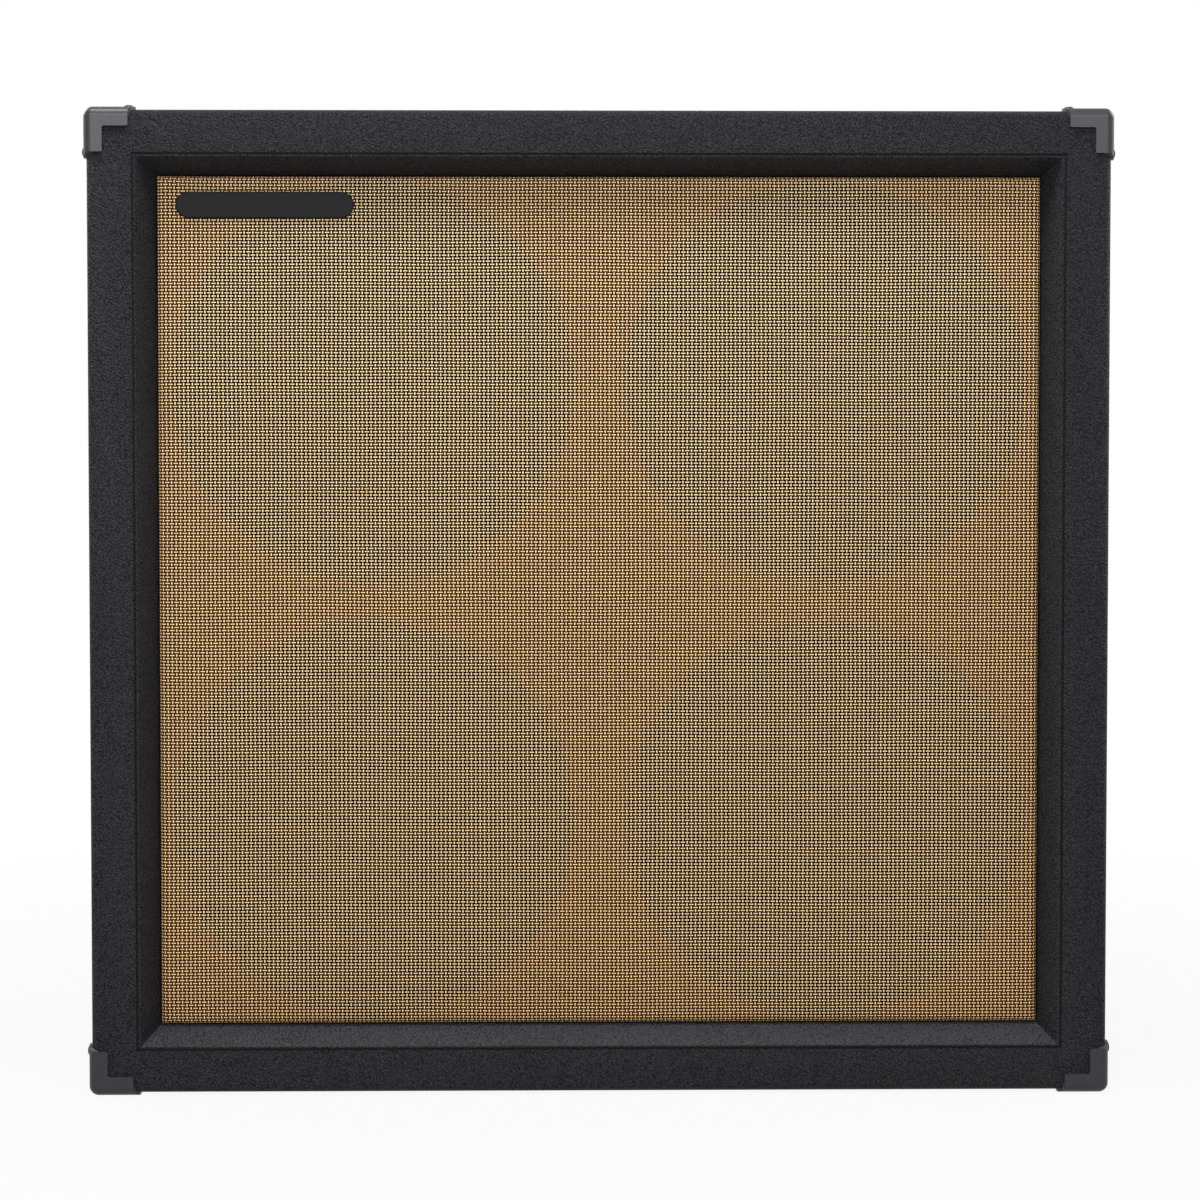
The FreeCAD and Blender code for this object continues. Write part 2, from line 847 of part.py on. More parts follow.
def badge_plate():
    """A bare pill-shaped plate with a softened front edge and two pins through the cloth."""
    x, z = badge_centre()
    half = badge_height / 2
    rounding = half - badge_end_flat / 2
    corners = rect(x - badge_length / 2, x + badge_length / 2, z - half, z + half, rounding)
    plate = slab(corners, "xz", cloth_front - badge_thickness, cloth_front)
    rim = [edge for edge in plate.Edges if abs(edge.BoundBox.YMax - cloth_front + badge_thickness) < 1e-6]
    plate = plate.makeChamfer(badge_edge, rim)
    return plate.fuse(badge_pins(badge_pin_radius, badge_pin_length)).removeSplitter()


def grille_block(inset, start, finish, rounding):
    """The grille's board with or without its cloth, rounded along the front edges."""
    w = cloth_half_width - inset
    h = cloth_half_height - inset
    solid = block(-w, w, start, finish, middle - h, middle + h)
    edges = [edge for edge in solid.Edges if abs(edge.BoundBox.YMax - start) < 1e-6]
    return solid.makeFillet(rounding, edges)


def grille_board():
    board = grille_block(cloth_thickness, board_front, board_back, grille_board_rounding)
    for x, z in driver_centres:
        start = Vector(x, board_front - overreach, z)
        reach = grille_board_thickness + 2 * overreach
        board = board.cut(Part.makeCylinder(grille_hole_radius, reach, start, Y_AXIS))
    return board.cut(group(badge_pins(badge_pin_radius + drill_clearance, badge_pin_length)))


def grille_cloth():
    """The cloth: stretched over the front, round the edges and folded behind the board."""
    rounding = grille_board_rounding + cloth_thickness
    outside = grille_block(0.0, cloth_front, board_back + cloth_thickness, rounding)
    inside = grille_block(cloth_thickness, board_front, board_back, grille_board_rounding)
    w = cloth_half_width - cloth_fold
    h = cloth_half_height - cloth_fold
    gap = slab(centred(w, h), "xz", board_back - overreach, board_back + cloth_thickness + overreach)
    cloth = outside.cut(inside).cut(gap)
    return cloth.cut(group(badge_pins(badge_pin_radius + drill_clearance, badge_pin_length)))


def grille_pads():
    """Hook-and-loop pads between the board and the baffle, at the corners and in the middle."""
    half = pad_size / 2
    u = board_half_width - pad_inset
    v = board_half_height - pad_inset
    spots = [(-u, v), (u, v), (-u, -v), (u, -v), (0.0, 0.0)]
    pads = []
    for x, z in spots:
        corners = rect(x - half, x + half, middle + z - half, middle + z + half, pad_corner)
        pads.append(slab(corners, "xz", board_back, frame_back))
    return group(pads)


# The baffle, the back and what holds them


def baffle_screw_spots():
    """Screw heads on the back of the baffle, over the middle of the frame's members."""
    u = half_width - baffle_screw_inset
    v = half_height - baffle_screw_inset
    spots = []
    for step in baffle_screw_steps:
        for side in (-1, 1):
            spots.append(Vector(step * u, baffle_back, middle + side * v))
            spots.append(Vector(side * u, baffle_back, middle + step * v * baffle_screw_side_share))
    return spots


def baffle_screws():
    screw = pan_screw(baffle_screw_length, screw_radius, screw_head_radius, screw_head_height)
    return group([turned(screw, spot, Y_AXIS) for spot in baffle_screw_spots()])


def bolt_places(x, z):
    """The four bolts of a driver, on the diagonals of its rim."""
    step = bolt_circle_radius * math.sqrt(0.5)
    return [(x + i * step, z + j * step) for i in (-1, 1) for j in (-1, 1)]


def baffle_board():
    """The board that carries the drivers, with holes for them, their T-nuts and its screws."""
    w = inner_half_width - fit_clearance
    h = inner_half_height - fit_clearance
    board = slab(centred(w, h), "xz", frame_back, baffle_back)
    reach = baffle_thickness + 2 * overreach
    hole = nut_barrel_radius + drill_clearance
    sink = nut_flange_radius + drill_clearance
    cutters = []
    for x, z in driver_centres:
        start = Vector(x, frame_back - overreach, z)
        cutters.append(Part.makeCylinder(baffle_hole_radius, reach, start, Y_AXIS))
        for bx, bz in bolt_places(x, z):
            start = Vector(bx, frame_back - overreach, bz)
            cutters.append(Part.makeCylinder(hole, reach, start, Y_AXIS))
            cutters.append(Part.makeCylinder(sink, nut_flange_thickness + overreach, start, Y_AXIS))
    for cutter in cutters:
        board = board.cut(cutter)
    return board.cut(drill(baffle_screw_spots(), Y_AXIS, screw_radius, baffle_screw_length))


def back_screw_spots():
    """Screw heads on the back panel: round its edge over the cleats, and two over the brace."""
    u = inner_half_width - cleat_size / 2
    v = inner_half_height - cleat_size / 2
    spots = []
    for side in (-1, 1):
        for step in back_screw_level_steps:
            spots.append(Vector(step * u, back_outer, middle + side * v))
        for step in back_screw_side_steps:
            spots.append(Vector(side * u, back_outer, middle + step * v))
        spots.append(Vector(0.0, back_outer, middle + side * brace_size / 4))
    return spots


def back_panel():
    gap = vinyl_thickness + back_clearance
    panel = slab(centred(inner_half_width - gap, inner_half_height - gap), "xz", back_inner, back_outer)
    panel = panel.cut(jack_cut_out())
    panel = panel.cut(drill(jack_screw_spots, Y_AXIS, screw_radius, jack_screw_length))
    return panel.cut(drill(back_screw_spots(), Y_AXIS, screw_radius, back_screw_length))


def back_screws():
    head_radius = screw_head_radius + back_screw_head_extra
    head_height = screw_head_height + back_screw_head_extra
    screw = pan_screw(back_screw_length, screw_radius, head_radius, head_height)
    return group([turned(screw, spot, Y_AXIS) for spot in back_screw_spots()])


def back_cleats():
    """Four strips round the inside of the box, in front of the back panel."""
    w, h, c = inner_half_width, inner_half_height, cleat_size
    strips = []
    for side in (-1, 1):
        level = middle + side * h
        far = level - side * c
        strips.append(block(-w, w, back_inner - c, back_inner, min(level, far), max(level, far)))
        x0, x1 = sorted((side * w, side * (w - c)))
        strips.append(block(x0, x1, back_inner - c, back_inner, middle - h + c, middle + h - c))
    holes = drill(back_screw_spots(), Y_AXIS, screw_radius, back_screw_length)
    return group([strip.cut(holes) for strip in strips])


def centre_brace():
    half = brace_size / 2
    post = block(-half, half, baffle_back, back_inner, middle - half, middle + half)
    return post.cut(drill(back_screw_spots(), Y_AXIS, screw_radius, back_screw_length))


# The drivers. Each is made about the Y axis, with the baffle's back face at y = 0.
rim_front = gasket_thickness
rim_back = rim_front + basket_sheet
seat_back = seat_depth + basket_sheet
top_plate_back = seat_back + top_plate_thickness
magnet_back = top_plate_back + magnet_thickness
former_radius = coil_radius + former_thickness
CONE_LINE = [
    (cone_radius, cone_edge_depth),
    (
        (cone_radius + cone_break_radius) / 2,
        cone_edge_depth + cone_curve_share * (cone_break_depth - cone_edge_depth),
    ),
    (cone_break_radius, cone_break_depth),
    (former_radius, cone_neck_depth),
]


def cone_depth_at(radius):
    """How deep the front of the cone lies at a radius."""
    for (r0, w0), (r1, w1) in zip(CONE_LINE, CONE_LINE[1:]):
        if r1 <= radius <= r0:
            return w0 + (w1 - w0) * (r0 - radius) / (r0 - r1)
    return cone_neck_depth


def folded_ring(start, finish, folds, height, sheet, flange):
    """A thin ring of folds between two (radius, depth) points, with a flat flange outside."""
    line = [(start[0] + flange, start[1]), start]
    for i in range(folds):
        side = -1 if i % 2 == 0 else 1
        share = (i + 0.5) / folds
        radius = start[0] + (finish[0] - start[0]) * share
        depth = start[1] + (finish[1] - start[1]) * share
        line.append((radius, depth + side * height))
    line.append(finish)
    return spun(line + [(r, w + sheet) for r, w in reversed(line)])


def driver_basket():
    """A pressed frame: rim, cone with windows, spider shelf and the seat of the magnet."""
    sheet = basket_sheet
    bend = basket_bend_share * sheet
    basket = spun(
        [
            (rim_radius, rim_front),
            (rim_inner, rim_front),
            (shoulder_radius, shoulder_depth),
            (shelf_outer, shelf_depth),
            (shelf_inner, shelf_depth),
            (cup_radius, seat_depth),
            (seat_inner, seat_depth),
            (seat_inner, seat_back),
            (cup_radius + sheet, seat_back),
            (shelf_inner + sheet, shelf_depth + sheet),
            (shelf_outer + bend, shelf_depth + sheet),
            (shoulder_radius + sheet, shoulder_depth),
            (rim_inner + bend, rim_back),
            (rim_radius, rim_back),
        ]
    )
    half_turn = math.sin(math.pi / window_count)
    half_front = shoulder_radius * half_turn - spoke_front / 2
    half_back = shelf_outer * half_turn - spoke_back / 2
    window = slab(
        [
            (-half_front, window_front, window_corner),
            (half_front, window_front, window_corner),
            (half_back, window_back, window_corner),
            (-half_back, window_back, window_corner),
        ],
        "xy",
        shelf_inner,
        rim_radius,
    )
    for i in range(window_count):
        cutter = window.copy()
        cutter.rotate(Vector(), Y_AXIS, i * 360.0 / window_count)
        basket = basket.cut(cutter)
    return basket


def driver_gasket():
    inner = baffle_hole_radius
    return spun([(inner, 0), (rim_radius, 0), (rim_radius, rim_front), (inner, rim_front)])


def driver_surround():
    start = (surround_outer - surround_flange, rim_front - surround_sheet)
    finish = (cone_radius + motion_gap, cone_edge_depth)
    return folded_ring(start, finish, surround_folds, surround_fold, surround_sheet, surround_flange)


def driver_spider():
    start = (shelf_inner, shelf_depth - spider_sheet)
    finish = (former_radius + motion_gap, shelf_depth - spider_sheet - spider_cup)
    return folded_ring(start, finish, spider_folds, spider_fold, spider_sheet, spider_flange)


def driver_cone():
    return spun(CONE_LINE + [(r, w + cone_paper) for r, w in reversed(CONE_LINE)])


def driver_dust_cap():
    """A paper dome glued round the middle of the cone."""
    base = cone_depth_at(dust_cap_radius) - dust_cap_glue
    rim = base - dust_cap_paper
    edges = [dome(dust_cap_radius, base, base - dust_cap_rise)]
    edges += lines([(0, base - dust_cap_rise), (0, rim - dust_cap_rise)])
    edges.append(dome(dust_cap_radius, rim, rim - dust_cap_rise))
    edges += lines([(dust_cap_radius, rim), (dust_cap_radius, base)])
    return about_y(edges)


def driver_voice_coil():
    """A thin former from the cone's neck into the magnet's gap, with its winding."""
    middle_of_gap = seat_back + top_plate_thickness / 2
    low = middle_of_gap - winding_length / 2
    high = middle_of_gap + winding_length / 2
    return spun(
        [
            (coil_radius, cone_neck_depth - former_above_neck),
            (former_radius, cone_neck_depth - former_above_neck),
            (former_radius, low),
            (former_radius + winding_thickness, low),
            (former_radius + winding_thickness, high),
            (coil_radius, high),
        ]
    )


def driver_top_plate():
    return spun(
        [
            (gap_radius, seat_back),
            (top_plate_radius, seat_back),
            (top_plate_radius, top_plate_back),
            (gap_radius, top_plate_back),
        ]
    )


def driver_magnet():
    return spun(
        [
            (magnet_inner, top_plate_back),
            (magnet_radius, top_plate_back),
            (magnet_radius, magnet_back),
            (magnet_inner, magnet_back),
        ]
    )


def driver_back_plate():
    """The back plate with the pole that stands in the voice coil."""
    rear = magnet_back + back_plate_thickness
    return spun(
        [
            (0, seat_back - pole_rise),
            (pole_radius, seat_back - pole_rise),
            (pole_radius, magnet_back),
            (back_plate_radius, magnet_back),
            (back_plate_radius, rear),
            (0, rear),
        ]
    )


def driver_terminal(side):
    """A strip on the back of the spider shelf, with two lugs towards the middle of the box."""
    start = shelf_depth + basket_sheet
    half = terminal_width / 2
    inner = shelf_inner + basket_sheet + fit_clearance
    x0, x1 = sorted((side * inner, side * shelf_outer))
    strip = block(x0, x1, start, start + terminal_thickness, -half, half)
    for place in (-1, 1):
        x0, x1 = sorted((side * (inner + lug_setback), side * lug_reach))
        level = place * half / 2
        low = start + terminal_thickness
        lug = block(x0, x1, low, low + lug_thickness, level - lug_width / 2, level + lug_width / 2)
        strip = strip.fuse(lug)
    return strip


def driver_bolts():
    bolt = pan_screw(bolt_length, bolt_radius, bolt_head_radius, bolt_head_height)
    return [turned(bolt, Vector(x, rim_back, z), Y_AXIS) for x, z in bolt_places(0, 0)]


def driver_t_nuts():
    """Nuts let into the front of the baffle, their flanges flush with it."""
    face = -baffle_thickness
    bore = bolt_radius + drill_clearance
    nut = spun(
        [
            (bore, face),
            (nut_flange_radius, face),
            (nut_flange_radius, face + nut_flange_thickness),
            (nut_barrel_radius, face + nut_flange_thickness),
            (nut_barrel_radius, face + nut_barrel_length),
            (bore, face + nut_barrel_length),
        ]
    )
    return [turned(nut, Vector(x, 0, z), Y_AXIS) for x, z in bolt_places(0, 0)]


def drilled(shape):
    """A rim or gasket with the holes for its bolts."""
    reach = bolt_radius + drill_clearance
    depth = rim_back + 2 * overreach
    starts = [Vector(x, -overreach, z) for x, z in bolt_places(0, 0)]
    return shape.cut(group([Part.makeCylinder(reach, depth, start, Y_AXIS) for start in starts]))


def placed(shape, x, z):
    moved = shape.copy()
    moved.translate(Vector(x, baffle_back, z))
    return moved


def drivers():
    """The four drivers: fixed pieces in groups, and each cone with its own cap and coil."""
    nodes = {}
    fixed = {
        "driver_baskets": drilled(driver_basket()),
        "driver_gaskets": drilled(driver_gasket()),
        "driver_surrounds": driver_surround(),
        "driver_spiders": driver_spider(),
        "driver_top_plates": driver_top_plate(),
        "driver_magnets": driver_magnet(),
        "driver_back_plates": driver_back_plate(),
    }
    for name, shape in fixed.items():
        nodes[name] = group([placed(shape, x, z) for x, z in driver_centres])
    nodes["driver_terminals"] = group(
        [placed(driver_terminal(-1 if x > 0 else 1), x, z) for x, z in driver_centres]
    )
    nodes["driver_bolts"] = group([placed(bolt, x, z) for x, z in driver_centres for bolt in driver_bolts()])
    nodes["driver_t_nuts"] = group([placed(nut, x, z) for x, z in driver_centres for nut in driver_t_nuts()])
    moving = {"cone": driver_cone(), "dust_cap": driver_dust_cap(), "voice_coil": driver_voice_coil()}
    for number, (x, z) in enumerate(driver_centres, 1):
        for name, shape in moving.items():
            nodes["%s_%d" % (name, number)] = placed(shape, x, z)
    return nodes


wood = box_round_cabinet(vinyl_thickness, edge_radius - vinyl_thickness)
right_dish = handle_dish()
right_grip = handle_grip()
nodes = {
    "top_panel": level_panel(1),
    "bottom_panel": level_panel(-1),
    "left_side_panel": side_panel(-1),
    "right_side_panel": side_panel(1),
    "vinyl_covering": vinyl_covering(),
    "grille_board": grille_board(),
    "grille_cloth": grille_cloth(),
    "grille_pads": grille_pads(),
    "badge_plate": badge_plate(),
    "baffle_board": baffle_board(),
    "baffle_screws": baffle_screws(),
    "back_panel": back_panel(),
    "back_panel_screws": back_screws(),
    "back_cleats": back_cleats(),
    "centre_brace": centre_brace(),
    "corner_screws": corner_screws(),
    "handle_dish_left": right_dish.mirror(Vector(), X_AXIS),
    "handle_dish_right": right_dish,
    "handle_grip_left": right_grip.mirror(Vector(), X_AXIS),
    "handle_grip_right": right_grip,
    "handle_screws": handle_screws(),
    "jack_dish": jack_dish(),
    "input_jacks": input_jacks(),
    "jack_nuts": jack_nuts(),
    "jack_dish_screws": jack_dish_screws(),
}
nodes.update(front_frame())
nodes.update(corner_protectors())
nodes.update(drivers())

os.makedirs("parts", exist_ok=True)
for name, shape in nodes.items():
    shape.exportStep("parts/%s.step" % name)
    print(name, len(shape.Solids), shape.isValid(), round(shape.Volume / 1000, 2))
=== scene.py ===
import math

import bmesh
import bpy
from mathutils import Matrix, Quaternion, Vector


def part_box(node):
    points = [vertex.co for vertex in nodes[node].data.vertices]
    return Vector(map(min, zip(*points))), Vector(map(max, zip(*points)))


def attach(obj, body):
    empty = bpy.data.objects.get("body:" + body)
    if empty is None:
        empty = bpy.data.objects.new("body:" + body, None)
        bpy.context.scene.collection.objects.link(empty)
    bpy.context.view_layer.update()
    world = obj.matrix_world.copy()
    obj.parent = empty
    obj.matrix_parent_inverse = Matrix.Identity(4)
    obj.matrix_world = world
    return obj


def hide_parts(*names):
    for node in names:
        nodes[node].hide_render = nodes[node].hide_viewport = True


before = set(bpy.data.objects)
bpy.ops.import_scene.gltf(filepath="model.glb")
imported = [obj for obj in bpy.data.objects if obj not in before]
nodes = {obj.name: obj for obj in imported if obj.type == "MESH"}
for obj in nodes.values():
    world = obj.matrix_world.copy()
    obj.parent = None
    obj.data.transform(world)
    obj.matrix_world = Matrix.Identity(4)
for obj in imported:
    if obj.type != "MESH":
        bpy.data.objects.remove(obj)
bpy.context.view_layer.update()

# The carcass: four birch plywood panels with finger joints, glued up and then covered. Behind
# them sits solid timber: the mitred front frame, the cleats for the back panel and the brace.


def add(material, kind, inputs=None, **settings):
    """Adds a shader node with its settings, and fills its inputs with values or nodes' outputs."""
    made = material.node_tree.nodes.new("ShaderNode" + kind)
    for key, value in settings.items():
        setattr(made, key, value)
    for key, value in (inputs or {}).items():
        if isinstance(value, bpy.types.NodeSocket):
            material.node_tree.links.new(value, made.inputs[key])
        else:
            made.inputs[key].default_value = value
    return made


def sum_up(material, operation, *values):
    """The result of one step of arithmetic on values or other nodes' outputs."""
    return add(material, "Math", dict(enumerate(values)), operation=operation).outputs[0]


def shades(material, value, stops):
    """A colour that runs through stops of (place, (red, green, blue))."""
    ramp = add(material, "ValToRGB", {"Fac": value})
    while len(ramp.color_ramp.elements) < len(stops):
        ramp.color_ramp.elements.new(0.5)
    for element, (place, colour) in zip(ramp.color_ramp.elements, stops):
        element.position = place
        element.color = (*colour, 1.0)
    return ramp.outputs["Color"]


def between(material, value, low, high, start=0.0, finish=1.0):
    """A value moved from one range to another."""
    names = ("Value", "From Min", "From Max", "To Min", "To Max")
    return add(material, "MapRange", dict(zip(names, (value, start, finish, low, high)))).outputs[0]


def noise(material, place, scale, detail, output="Fac"):
    """Soft random patches, so many to each unit of the place."""
    return add(material, "TexNoise", {"Vector": place, "Scale": scale, "Detail": detail}).outputs[output]


def new_finish(name):
    """A new material and its main shader."""
    material = bpy.data.materials.new(name)
    material.use_nodes = True
    return material, material.node_tree.nodes["Principled BSDF"]


def feed(material, shader, **sockets):
    """Links nodes' outputs to a shader's sockets, named with underscores for spaces."""
    for key, value in sockets.items():
        material.node_tree.links.new(value, shader.inputs[key.replace("_", " ")])


def plain_finish(name, dark, light, grain, rough, relief=0.0, metallic=0.0, specular=0.5):
    """A finish whose colour, gloss and relief follow one grain: patches per metre along X, Y and Z."""
    material, shader = new_finish(name)
    shader.inputs["Metallic"].default_value = metallic
    shader.inputs["Specular IOR Level"].default_value = specular
    place = add(material, "TexCoord").outputs["Object"]
    stretched = add(material, "Mapping", {"Vector": place, "Scale": grain}).outputs[0]
    fleck = noise(material, stretched, 1.0, 5.0)
    thin, thick, gloss_spread = 0.3, 0.7, 0.08
    feed(material, shader, Base_Color=shades(material, fleck, [(thin, dark), (thick, light)]))
    gloss = between(material, fleck, rough - gloss_spread, rough + gloss_spread, thin, thick)
    feed(material, shader, Roughness=gloss)
    if relief:
        bump = add(material, "Bump", {"Height": fleck, "Distance": relief, "Strength": 0.8})
        feed(material, shader, Normal=bump.outputs[0])
    return material


def dress(material, *names):
    """Gives CAD nodes a material in place of the one they came with."""
    for name in names:
        nodes[name].data.materials.clear()
        nodes[name].data.materials.append(material)


level_ply = plain_finish(
    "level_plywood", (0.36, 0.23, 0.11), (0.55, 0.39, 0.21), (12, 160, 900),
    rough=0.6, relief=0.0002,
)
side_ply = plain_finish(
    "side_plywood", (0.36, 0.23, 0.11), (0.55, 0.39, 0.21), (900, 160, 12),
    rough=0.6, relief=0.0002,
)
timber = plain_finish(
    "timber", (0.40, 0.25, 0.12), (0.62, 0.44, 0.24), (30, 220, 220),
    rough=0.6, relief=0.0002,
)
dress(level_ply, "top_panel", "bottom_panel")
dress(side_ply, "left_side_panel", "right_side_panel")
dress(timber, "front_frame_top", "front_frame_bottom", "front_frame_left", "front_frame_right")
dress(timber, "back_cleats", "centre_brace")

# The baffle: a plywood board painted black, screwed to the back of the front frame, with four
# holes for the drivers. Hook-and-loop pads on its face hold the grille.

black_paint = plain_finish(
    "black_board_paint", (0.008, 0.008, 0.009), (0.02, 0.02, 0.021), (400, 400, 400),
    rough=0.7, relief=0.0002,
)
zinc = plain_finish(
    "zinc_plate", (0.45, 0.44, 0.38), (0.62, 0.61, 0.56), (300, 300, 300),
    rough=0.35, relief=0.00005, metallic=1.0,
)
pile = plain_finish(
    "hook_and_loop_pile", (0.006, 0.006, 0.006), (0.03, 0.03, 0.031), (2600, 2600, 2600),
    rough=0.9, relief=0.0005,
)
dress(black_paint, "baffle_board")
dress(zinc, "baffle_screws", "driver_bolts", "driver_t_nuts")
dress(pile, "grille_pads")

# The four drivers: a pressed steel basket painted black, a cork gasket, a ferrite magnet between
# two zinc-plated plates, a tag strip, and a paper cone with its dust cap and copper voice coil.

black_steel = plain_finish(
    "black_basket_paint", (0.012, 0.012, 0.013), (0.03, 0.03, 0.032), (240, 240, 240),
    rough=0.35, relief=0.0001,
)
ferrite = plain_finish(
    "ferrite", (0.03, 0.03, 0.032), (0.055, 0.055, 0.06), (900, 900, 900),
    rough=0.55, relief=0.0002,
)
cork = plain_finish(
    "cork", (0.16, 0.085, 0.04), (0.38, 0.23, 0.12), (700, 700, 700),
    rough=0.85, relief=0.0003,
)
tag_board = plain_finish(
    "tag_board", (0.16, 0.07, 0.03), (0.24, 0.11, 0.05), (200, 200, 600),
    rough=0.5, relief=0.0001,
)
surround_paper = plain_finish(
    "doped_surround", (0.008, 0.007, 0.006), (0.022, 0.02, 0.018), (800, 800, 800),
    rough=0.45, relief=0.0002,
)
spider_cloth = plain_finish(
    "spider_cloth", (0.34, 0.22, 0.09), (0.52, 0.36, 0.17), (2200, 2200, 2200),
    rough=0.8, relief=0.0002,
)
dress(black_steel, "driver_baskets")
dress(ferrite, "driver_magnets")
dress(zinc, "driver_top_plates", "driver_back_plates")
dress(cork, "driver_gaskets")
dress(tag_board, "driver_terminals")
dress(surround_paper, "driver_surrounds")
dress(spider_cloth, "driver_spiders")
cone_paper = plain_finish(
    "cone_paper", (0.016, 0.015, 0.014), (0.045, 0.042, 0.04), (900, 260, 900),
    rough=0.85, relief=0.0003,
)
cap_felt = plain_finish(
    "dust_cap_felt", (0.012, 0.012, 0.012), (0.04, 0.038, 0.036), (1500, 1500, 1500),
    rough=0.9, relief=0.0003,
)
copper = plain_finish(
    "copper_winding", (0.55, 0.22, 0.11), (0.78, 0.36, 0.2), (60, 4200, 60),
    rough=0.35, relief=0.0001, metallic=1.0,
)
for number in "1234":
    dress(cone_paper, "cone_" + number)
    dress(cap_felt, "dust_cap_" + number)
    dress(copper, "voice_coil_" + number)

# The covering: black grained vinyl glued over the whole box. It turns over the front edge, runs
# down the bevel to the grille, with a butt seam on each mitre, and ends inside the rear rebate.


def measured(node):
    """The low and the high corner of a CAD node, to a hundredth of a millimetre."""
    return [[round(value, 5) for value in corner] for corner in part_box(node)]


(_, _, skin_foot), (half_width, half_depth, skin_top) = measured("vinyl_covering")
half_height, middle = (skin_top - skin_foot) / 2, (skin_top + skin_foot) / 2
face_half_width, face_half_height = 0.3446, 0.3324
pocket_half_width, pocket_half_height = 0.333, 0.3208
bevel_depth, pocket_depth = 0.026, 0.0155
rear_half_width, rear_depth = 0.3614, 0.027
skin_thickness, edge_rounding, mouth_rounding = 0.0008, 0.005, 0.0013
crease_out, crease_middle, crease_depth = 0.0028, 0.0019, 0.0006
(handle_out, _, handle_foot), (_, _, handle_top) = measured("handle_dish_left")
handle_z = (handle_foot + handle_top) / 2
hole_width, hole_height, hole_rounding = 0.151, 0.103, 0.013
smooth_below, hair = math.radians(38.0), 0.00001


def let_go():
    """Leaves edit mode and selects nothing."""
    if bpy.context.object and bpy.context.object.mode != "OBJECT":
        bpy.ops.object.mode_set(mode="OBJECT")
    bpy.ops.object.select_all(action="DESELECT")


def only(piece):
    """Makes one object the active one and the only one selected, in object mode."""
    let_go()
    piece.select_set(True)
    bpy.context.view_layer.objects.active = piece


def start_box(name, centre, size):
    """A new box of a size, with its place in its mesh."""
    let_go()
    bpy.ops.mesh.primitive_cube_add(size=1.0, location=centre, scale=size)
    bpy.ops.object.transform_apply(location=True, rotation=True, scale=True)
    bpy.context.object.name = name
    return bpy.context.object


def pick(piece, part, test):
    """In edit mode, selects just the faces or edges that pass a test."""
    only(piece)
    bpy.ops.object.mode_set(mode="EDIT")
    bpy.ops.mesh.select_mode(type="FACE" if part == "faces" else "EDGE")
    bpy.ops.mesh.select_all(action="DESELECT")
    shape = bmesh.from_edit_mesh(piece.data)
    for element in getattr(shape, part):
        if test(element):
            element.select = True
    shape.select_flush_mode()
    bmesh.update_edit_mesh(piece.data)


def cut(piece, cutter):
    """Takes a cutter's shape out of a piece, once the piece's modifiers are applied."""
    cutting = piece.modifiers.new("cut", "BOOLEAN")
    cutting.operation = "DIFFERENCE"
    cutting.object = cutter
    cutting.solver = "EXACT"


def apply_all(piece):
    """Applies a piece's modifiers in their order."""
    only(piece)
    for modifier in list(piece.modifiers):
        bpy.ops.object.modifier_apply(modifier=modifier.name)


def finish_piece(piece, material, body, slot, *replaced):
    """Gives a finished piece its material, its body and the nodes it stands for; its slot is not used.
    """
    only(piece)
    if not piece.data.has_custom_normals:
        bpy.ops.object.shade_smooth_by_angle(angle=smooth_below)
    piece.data.materials.clear()
    piece.data.materials.append(material)
    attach(piece, body)
    if replaced:
        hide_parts(*replaced)


def push_in(depth, scale_x, scale_z):
    """Extrudes the picked face along Y and scales it about the middle of the box."""
    bpy.ops.mesh.extrude_region_move(TRANSFORM_OT_translate={"value": (0.0, depth, 0.0)})
    bpy.ops.transform.resize(value=(scale_x, 1.0, scale_z), center_override=(0.0, 0.0, middle))


vinyl_skin = start_box(
    "vinyl_skin", (0.0, 0.0, middle), (2 * half_width, 2 * half_depth, 2 * half_height)
)
pick(vinyl_skin, "edges", lambda edge: True)
bpy.ops.mesh.bevel(offset=edge_rounding, segments=5, affect="EDGES")
pick(vinyl_skin, "faces", lambda face: face.normal.y < -0.999)
bpy.ops.mesh.inset(thickness=half_height - face_half_height - crease_out - edge_rounding)
out_width, out_height = face_half_width + crease_out, face_half_height + crease_out
inset_half_width = half_width - (half_height - out_height)
bpy.ops.transform.resize(
    value=(out_width / inset_half_width, 1.0, 1.0), center_override=(0.0, 0.0, middle)
)
low_width, low_height = face_half_width + crease_middle, face_half_height + crease_middle
push_in(crease_depth, low_width / out_width, low_height / out_height)
push_in(-crease_depth, face_half_width / low_width, face_half_height / low_height)
push_in(bevel_depth, pocket_half_width / face_half_width, pocket_half_height / face_half_height)
push_in(pocket_depth, 1.0, 1.0)
bpy.ops.mesh.delete(type="FACE")
pick(vinyl_skin, "faces", lambda face: face.normal.y > 0.999)
bpy.ops.mesh.inset(thickness=half_width - rear_half_width - edge_rounding)
push_in(-rear_depth, 1.0, 1.0)
bpy.ops.mesh.delete(type="FACE")


def at_mouth(edge):
    """The edges where the front face turns into the bevel, and the rear face into the rebate."""
    a, b = (vertex.co for vertex in edge.verts)
    front = all(abs(v.y + half_depth) < hair for v in (a, b))
    rear = all(abs(v.y - half_depth) < hair for v in (a, b))
    inside_front = all(abs(v.x) < face_half_width + 10 * hair for v in (a, b))
    inside_rear = all(abs(v.x) < rear_half_width + 10 * hair for v in (a, b))
    return (front and inside_front) or (rear and inside_rear)


